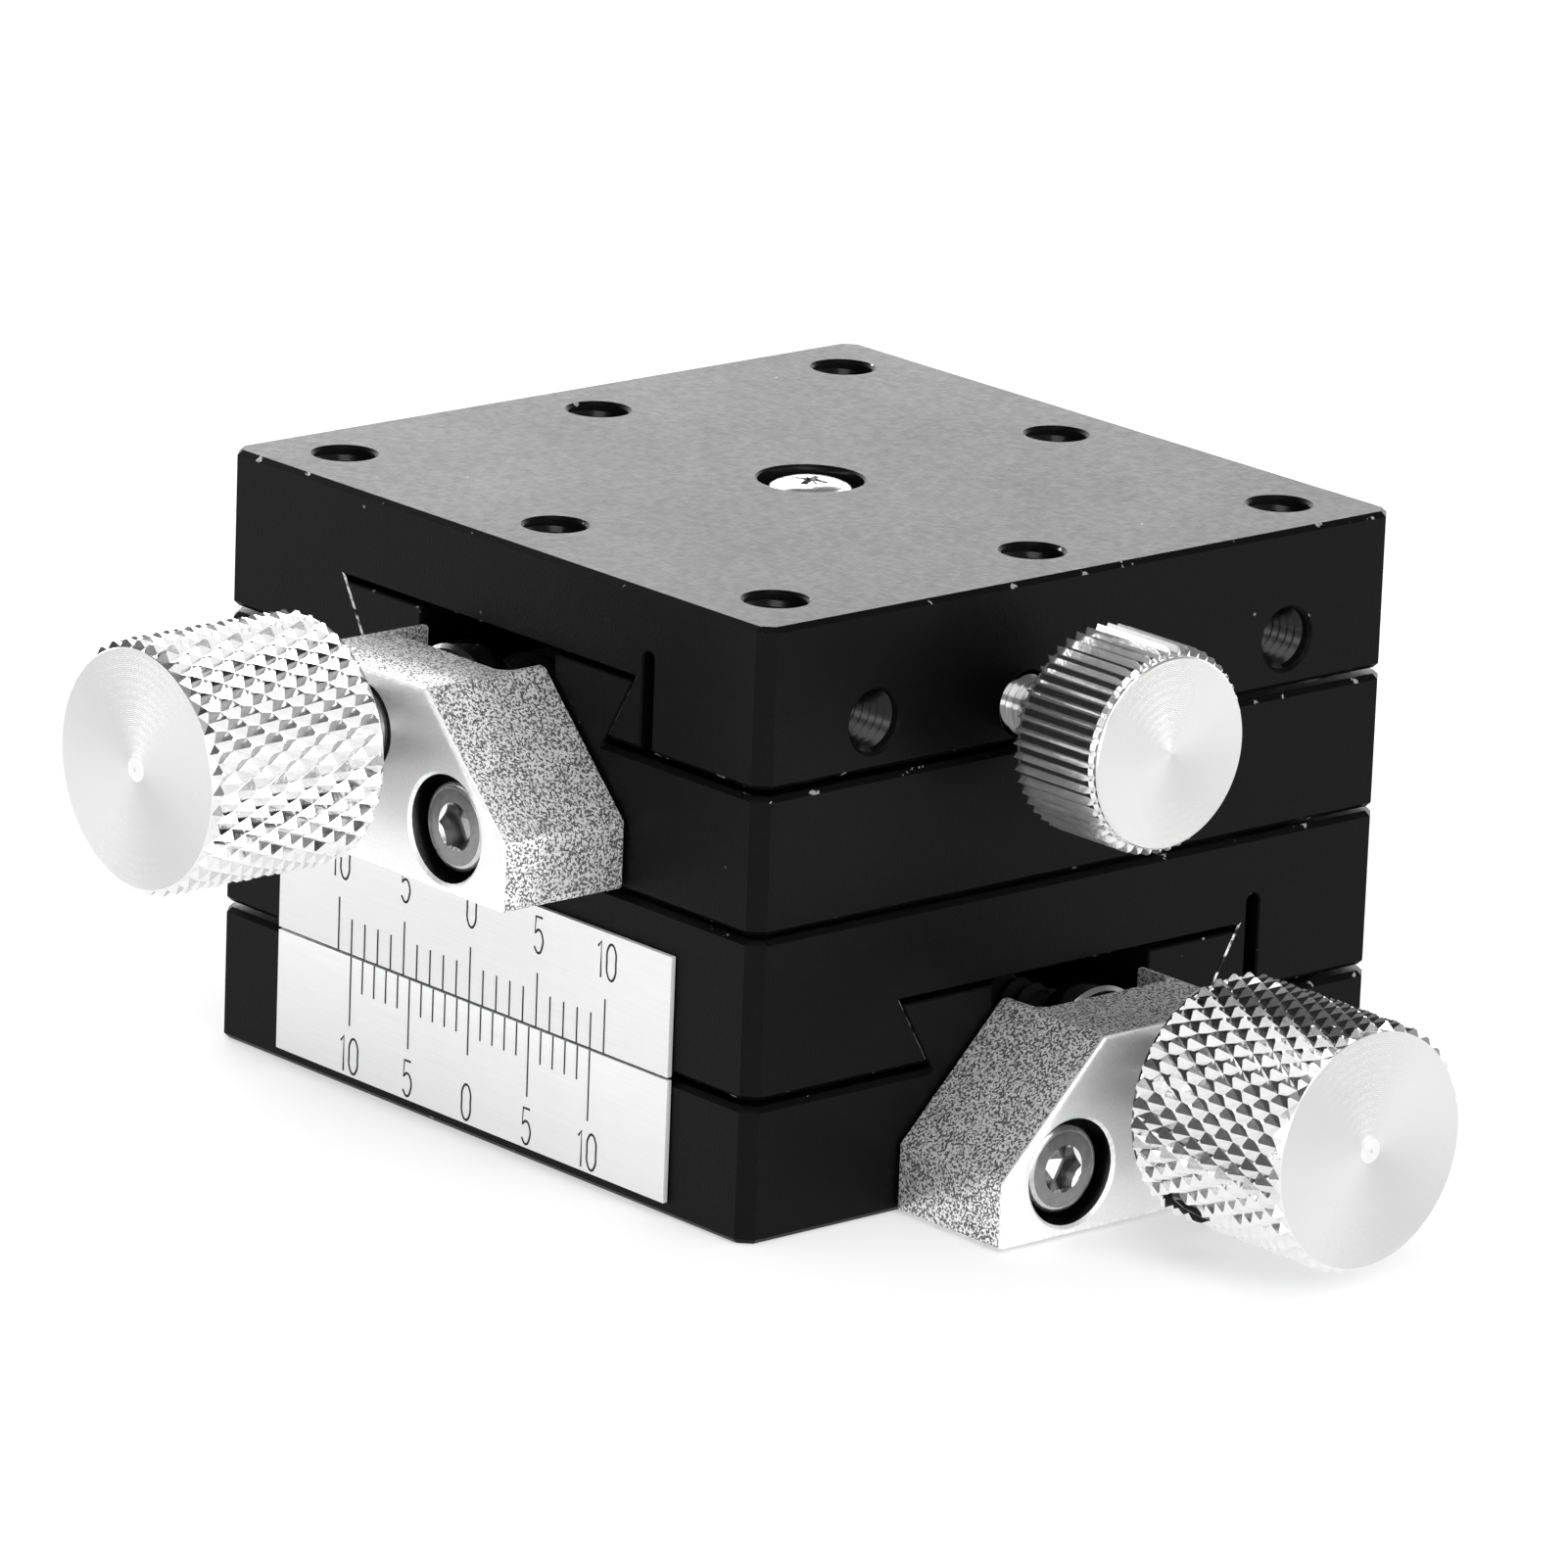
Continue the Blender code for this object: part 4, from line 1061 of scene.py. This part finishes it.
def fluted_lock():
    """The lock screw's head: narrow ridges round it, cut back at both ends, and a turned disc in front."""
    sides = 4 * LOCK_RIDGES
    foot = LOCK_RADIUS - LOCK_FLUTE_DEPTH
    disc = LOCK_LENGTH - LOCK_DISC_THICK
    made = lathe(
        "fluted_lock",
        [
            (BORE_CENTRE, LOCK_BORE_END),
            (LOCK_BORE, LOCK_BORE_END),
            (LOCK_BORE, 0),
            (foot - HEAD_EDGE, 0),
            (LOCK_RADIUS, LOCK_SLOPE),
            (LOCK_RADIUS, disc - LOCK_SLOPE),
            (LOCK_RADIUS - LOCK_SLOPE * 0.6, disc),
            (LOCK_DISC_RADIUS - HEAD_EDGE, disc),
            (LOCK_DISC_RADIUS - HEAD_EDGE, disc + HEAD_EDGE),
            (LOCK_DISC_RADIUS, disc + 0.00016),
            (LOCK_DISC_RADIUS, LOCK_LENGTH - 0.00012),
            (LOCK_DISC_RADIUS - 0.00008, LOCK_LENGTH - 0.00004),
            (0.0006, LOCK_LENGTH - 0.00004),
            (0.0004, LOCK_LENGTH - 0.00002),
            (CENTRE, LOCK_LENGTH),
        ],
        sides,
        FLUTE,
        LOCK_FACE_FINISH,
        PAINTED_VALLEY_SHADE,
    )

    def is_valley(vert):
        column = round((math.atan2(vert.co.y, vert.co.x) / (2 * math.pi) + 1) * sides)
        return vert.co.xy.length > LOCK_DISC_RADIUS + 0.00005 and column % 4 > 0

    with editing(made, "VERT"):
        pick("verts", is_valley)
        sink = foot / LOCK_RADIUS
        bpy.ops.transform.resize(value=(sink, sink, 1), center_override=(0, 0, 0))
    valley = LOCK_DISC_RADIUS + LOCK_FLUTE_DEPTH / 4
    between = (LOCK_SLOPE, disc - LOCK_SLOPE)
    # Painted shade: the faces deep in the valleys take the near-black finish.
    coat(made, 2, lambda middle, normal: middle.xy.length < valley and between[0] < middle.z < between[1])
    coat(made, 1, lambda middle, normal: middle.z > disc + 0.0002)
    coat(made, 1, lambda middle, normal: middle.z < FINE_EDGE)
    shade(made, FACET_SMOOTH)
    places = {stage: place @ at(0, 0, LOCK_STANDOFF) for stage, place in lock_places().items()}
    stage_copies(made, "fluted_lock", "lock", ["lock_knob"], places)


def nut_screw():
    """The pan screw that holds the feed nut, with a cross recess."""
    profile = [
        (PAN_CORE * 0.7, PAN_TIP),
        (PAN_CORE, PAN_TIP + TIP_CHAMFER),
        (PAN_CORE, 0),
        (PAN_HEAD_RADIUS - HEAD_EDGE, 0),
        (PAN_HEAD_RADIUS, HEAD_EDGE),
    ]
    for step in range(9):
        angle = QUARTER * step / 9
        back = PAN_ROUNDING * (1 - math.cos(angle))
        height = PAN_HEAD_RIM - PAN_RIM_FALL + PAN_RIM_FALL * math.sin(angle)
        profile.append((PAN_HEAD_RADIUS - back, height))
    for share in (0.75, 0.5, 0.25, 0.05):
        rise = PAN_HEAD_CROWN * (1 - share * share)
        profile.append((PAN_HEAD_RADIUS * share, PAN_HEAD_RIM + rise))
    made = lathe("nut_screw", profile, 48, ZINC)
    top = PAN_HEAD_RIM + PAN_HEAD_CROWN
    # Painted shade: the cross recess takes a darker steel than the zinc head.
    for x, y in CROSS_ARMS:
        arm = block("arm", (-x, -y, top - CROSS_DEPTH), (x, y, top + SHORT_OVERRUN), RECESS_SHADE)
        with editing(arm, "VERT"):
            pick("verts", lambda vert: vert.co.z < top - CROSS_TAPER_BELOW)
            bpy.ops.transform.resize(value=(0.5, 0.5, 1), center_override=(0, 0, top))
        cut(made, arm)
    for x, y in CROSS_NOTCHES:
        notch = block("notch", (-x, -y, top - NOTCH_DEPTH), (x, y, top + 0.0003), RECESS_SHADE)
        cut(made, placed(notch, Matrix.Rotation(QUARTER / 2, 4, "Z")))
    placed(made, at(0, 0, PAN_SEAT + SEAT_GAP), Matrix.Rotation(PAN_TURN, 4, "Z"))
    stage_copies(shade(made), "pan_screw", "table", ["nut_screw"])


def stroke(points, closed=False):
    """A drawn line in millimetres, in X and Y. A point with a third value keeps its corner."""
    bpy.ops.object.select_all(action="DESELECT")
    bpy.ops.curve.primitive_bezier_curve_add()
    line = bpy.context.active_object
    spline = line.data.splines[0]
    spline.bezier_points.add(len(points) - 2)
    for knot, point in zip(spline.bezier_points, points):
        knot.co = (point[0] / 1000, point[1] / 1000, 0)
        kind = "VECTOR" if len(point) > 2 else "AUTO"
        knot.handle_left_type = kind
        knot.handle_right_type = kind
    spline.use_cyclic_u = closed
    line.data.dimensions = "3D"
    line.data.bevel_depth = STROKE_RADIUS
    line.data.bevel_resolution = 2
    line.data.resolution_u = 6
    line.data.use_fill_caps = True
    bpy.ops.object.convert(target="MESH")
    line = bpy.context.active_object
    bpy.ops.object.transform_apply(location=True, rotation=True, scale=True)
    placed(line, Matrix.Diagonal((1, 1, INK_RISE / STROKE_RADIUS, 1)))
    line.data.materials.clear()
    line.data.materials.append(INK)
    return line


def digits():
    """The glyphs by their numbers, each drawn about its own middle."""
    nought = [
        (0, 0.885),
        (-0.27, 0.62),
        (-0.325, 0),
        (-0.27, -0.62),
        (0, -0.885),
        (0.27, -0.62),
        (0.325, 0),
        (0.27, 0.62),
    ]
    five = [
        (0.27, 0.885, 1),
        (-0.22, 0.885, 1),
        (-0.27, 0.06, 1),
        (0.02, 0.26),
        (0.285, -0.02),
        (0.285, -0.52),
        (0.02, -0.885),
        (-0.30, -0.62),
    ]
    one = [(-0.14, 0.60, 1), (0.09, 0.885, 1), (0.09, -0.885, 1)]
    return {"0": (nought, True), "5": (five, False), "1": (one, False)}


def number(text):
    glyphs = digits()
    pieces = [stroke(*glyphs[glyph]) for glyph in text]
    if len(text) == 2:
        for piece, x in zip(pieces, TEN_PLACES):
            placed(piece, at(x, 0, 0))
    return join(pieces)


def tick(name, length):
    """A line from height 0 upwards."""
    made = block(name, (-TICK_WIDTH / 2, 0, -INK_RISE), (TICK_WIDTH / 2, length, INK_RISE), INK)
    with editing(made, "EDGE"):
        pick("edges", lambda edge: all(vert.co.z > 0 for vert in edge.verts))
        bpy.ops.mesh.bevel(offset=INK_RISE / 2, segments=1, affect="EDGES")
    return made


def marks(pitch, direction, lengths, digit_height):
    """Twenty-one lines from -10 to 10 and their numbers, in X and Y about the scale's nought."""
    pieces = []
    for count in range(-10, 11):
        kind = "nought" if count == 0 else "major" if count % 5 == 0 else "minor"
        line = tick("line", lengths[kind])
        if direction < 0:
            placed(line, Matrix.Rotation(HALF_TURN, 4, "Z"))
        pieces.append(placed(line, at(count * pitch, 0, 0)))
        if count % 5 == 0:
            pieces.append(placed(number(str(abs(count))), at(count * pitch, digit_height, 0)))
    return join(pieces)


def scale_strip(name, foot, top, ink, ink_height, carrier, node):
    """A plate with its ink, on the stage's -X side."""
    low = (-SCALE_OUTER, SCALE_SHIFT - SCALE_HALF, foot)
    strip = block(name, low, (-SCALE_INNER, SCALE_SHIFT + SCALE_HALF, top), SCALE)
    with editing(strip, "EDGE"):
        bpy.ops.mesh.select_all(action="SELECT")
        bpy.ops.mesh.bevel(offset=SCALE_EDGE, segments=2, affect="EDGES")
    face = Matrix(((0, 0, -1, -SCALE_OUTER), (-1, 0, 0, SCALE_SHIFT), (0, 1, 0, ink_height), (0, 0, 0, 1)))
    placed(ink, face)
    made = shade(join([strip, ink]))
    stage_copies(made, name, carrier, [node])


def scale_plates():
    main = marks(MAIN_PITCH, 1, MAIN_LINES, MAIN_DIGITS)
    scale_strip("main_scale", SCALE_FOOT, SCALE_TOP, main, SCALE_FOOT, "table", "scale_plate")
    vernier = marks(VERNIER_PITCH, -1, VERNIER_LINES, VERNIER_DIGITS)
    scale_strip("vernier_scale", VERNIER_FOOT, VERNIER_TOP, vernier, VERNIER_TOP, "base", "vernier_plate")


def carried_over():
    """The hidden nodes that stay as they are get their finishes."""
    kept = {"feed_nut": nut_brass(), "joining_screw": DARK}
    for name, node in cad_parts.items():
        for word, finish in kept.items():
            if word in name:
                node.data.materials.clear()
                node.data.materials.append(finish)


def outward(azimuth, elevation):
    """The direction from the stage at an azimuth and elevation in degrees, both 0 along -Y."""
    azimuth = math.radians(azimuth)
    elevation = math.radians(elevation)
    level = math.cos(elevation)
    return Vector((math.sin(azimuth) * level, -math.cos(azimuth) * level, math.sin(elevation)))


def camera():
    back = outward(CAMERA_AZIMUTH, CAMERA_ELEVATION)
    level = outward(CAMERA_AZIMUTH + 90, 0)
    up = back.cross(level)
    right = math.cos(CAMERA_ROLL) * level + math.sin(CAMERA_ROLL) * up
    top = -math.sin(CAMERA_ROLL) * level + math.cos(CAMERA_ROLL) * up
    bpy.ops.object.camera_add()
    made = bpy.context.active_object
    made.name = "viewpoint"
    made.matrix_world = at(*CAMERA_PLACE) @ Matrix((right, top, back)).transposed().to_4x4()
    made.data.lens = CAMERA_LENS
    made.data.sensor_width = 36
    made.data.clip_end = 20
    bpy.context.scene.camera = made


def soft_lamp(name, azimuth, elevation, distance, size, radiance):
    """A rectangular lamp that looks at the stage."""
    out = outward(azimuth, elevation)
    bpy.ops.object.light_add(type="AREA", location=out * distance)
    made = bpy.context.active_object
    made.name = name
    made.rotation_euler = out.to_track_quat("Z", "Y").to_euler()
    made.data.shape = "RECTANGLE"
    made.data.size = size[0]
    made.data.size_y = size[1]
    made.data.energy = radiance * math.pi * size[0] * size[1]
    made.visible_camera = False


def emptied(holder):
    """The node tree of a new material or world, with nothing in it yet."""
    holder.use_nodes = True
    holder.node_tree.nodes.clear()
    return Shading(holder.node_tree)


def white_floor():
    """To the camera it is part glow and part plain white, which takes the shadow."""
    bpy.ops.object.select_all(action="DESELECT")
    bpy.ops.mesh.primitive_plane_add(size=12, location=(0, 0, -HAIR))
    floor = bpy.context.active_object
    floor.name = "floor"
    ground = bpy.data.materials.new("white_floor")
    shading = emptied(ground)
    mirrored = shading.ray("Is Glossy Ray") * FLOOR_GLOW
    share = shading.node("Mix", {}, {0: shading.ray("Is Camera Ray"), 2: mirrored, 3: FLOOR_SEEN})
    diffuse = shading.node("BsdfDiffuse", {}, {"Color": (0.9, 0.9, 0.9, 1)})
    glow = shading.node("Emission", {}, {})
    mix = shading.node("MixShader", {}, {"Fac": share, 1: diffuse, 2: glow})
    shading.node("OutputMaterial", {}, {"Surface": mix})
    floor.data.materials.append(ground)


def white_world():
    """White to the camera. Mirrored, it is white near the horizon, and darker high up and on the left."""
    world = bpy.data.worlds.new("studio")
    bpy.context.scene.world = world
    sky = emptied(world)
    spot = sky.node("TexCoord", {}, {}, "Generated")
    height = sky.node("SeparateXYZ", {}, {0: spot}, "Z")
    low_down = sky.span(height, math.sin(SKY_WHITE_TO), math.sin(SKY_DARK_FROM), 1.0, 0.0)
    bright_side = (math.cos(SKY_BRIGHT_SIDE), math.sin(SKY_BRIGHT_SIDE), 0)
    toward = sky.node("VectorMath", {"operation": "DOT_PRODUCT"}, {0: spot, 1: bright_side}, "Value")
    side = sky.span(toward, -0.5, 0.7, SKY_LEFT, SKY_RIGHT)
    mirrored = sky.node("Mix", {}, {0: low_down, 2: side, 3: 1.0})
    lit = sky.node("Mix", {}, {0: sky.ray("Is Glossy Ray"), 2: SKY_MATTE, 3: mirrored})
    level = sky.node("Math", {"operation": "MAXIMUM"}, {0: sky.ray("Is Camera Ray"), 1: lit})
    shine = sky.node("Background", {}, {"Color": level})
    sky.node("OutputWorld", {}, {"Surface": shine})


def studio():
    white_floor()
    white_world()
    for name, values in LAMPS.items():
        soft_lamp(name, *values)
    bpy.context.scene.view_settings.view_transform = "Standard"


FEED_AXIS = at(0, 0, FEED_HEIGHT)
LOCK_AXIS = at(0, -LOCK_OFFSET, LOCK_HEIGHT)
BLACK = black_anodised()
EDGE = worn_edge()
THREAD = grained(
    "black_anodised_thread", 0.0, (4000, 2.0), (0.003, 0.004), (0.10, 0.10), Specular_IOR_Level=0.2
)
# Painted glint for the mouth-facing flanks of the tapped threads.
PAINTED_GLINT = screw_steel("thread_painted_glint", 0.02)
BLASTED = sand_blasted()
# The bracket's front face is milled after the blasting.
FACED = grained("faced_bracket", 0.7, (8000, 2.0), (0.78, 0.22), (0.24, 0.20), 0.000004)
MILLED = milled_edge()
KNURL = nickel("nickel_knurl", 1.0)
FLUTE = nickel("nickel_flutes", 0.88)
SCREW = screw_steel("screw_steel", 0.46)
DARK = grained(
    "dark_steel", 0.7, (3000, 3.0), (0.030, 0.040), (0.30, 0.16), 0.000008, Specular_IOR_Level=0.4
)
# Painted shade: darker steel inside the hex socket and the cross recess.
RECESS_SHADE = screw_steel("socket_painted_shade", 0.28)
# Painted shade for the flat top of the socket screw's head.
SHADED_SCREW_FACE = screw_steel("screw_face_painted_shade", 0.20)
# Painted shade between the lock screw's ridges: the valley faces are coloured near black.
PAINTED_VALLEY_SHADE = grained("flute_painted_shade", 0.0, (3000, 3.0), (0.010, 0.020), (0.34, 0.16), Specular_IOR_Level=0.08)
# Painted shade: darker steel for the walls of the bracket's counterbores and screw holes.
PAINTED_SEAT_SHADE = screw_steel("seat_painted_shade", 0.12)
SCRAPED = scraped_edge()
ZINC = grained("bright_zinc", 1.0, (2200, 2.0), (0.84, 0.12), (0.16, 0.12), 0.00001)
INK = grained("scale_ink", 0.0, (9000, 2.0), (0.006, 0.010), (0.5, 0.2), Specular_IOR_Level=0.2)
# These five follow the stage's own axes, so each is a blank that stage_copies swaps for the stage's finish.
KNOB_FACE_FINISH = bpy.data.materials.new("blank_knob_face")
LOCK_FACE_FINISH = bpy.data.materials.new("blank_lock_face")
SHAFT = bpy.data.materials.new("blank_shaft")
STEM = bpy.data.materials.new("blank_stem")
SCALE = bpy.data.materials.new("blank_scale")
FINISHES = {}
for stage, place in STAGES.items():
    FINISHES[stage] = {
        KNOB_FACE_FINISH.name: turned_face("knob_face_" + stage, place @ FEED_AXIS, 1),
        LOCK_FACE_FINISH.name: turned_face("lock_face_" + stage, place @ LOCK_AXIS, 0),
        SHAFT.name: turned_steel("shaft_" + stage, place, 1, 0.16),
        STEM.name: turned_steel("stem_" + stage, place, 0, 0.06),
        SCALE.name: satin_scale("brushed_scale_" + stage, place),
    }

slide_table()
foot_plate()
end_bracket()
bracket_screws()
set_screws()
knurled_knob()
feed_shaft()
lock_stem()
fluted_lock()
nut_screw()
scale_plates()
carried_over()
camera()
studio()
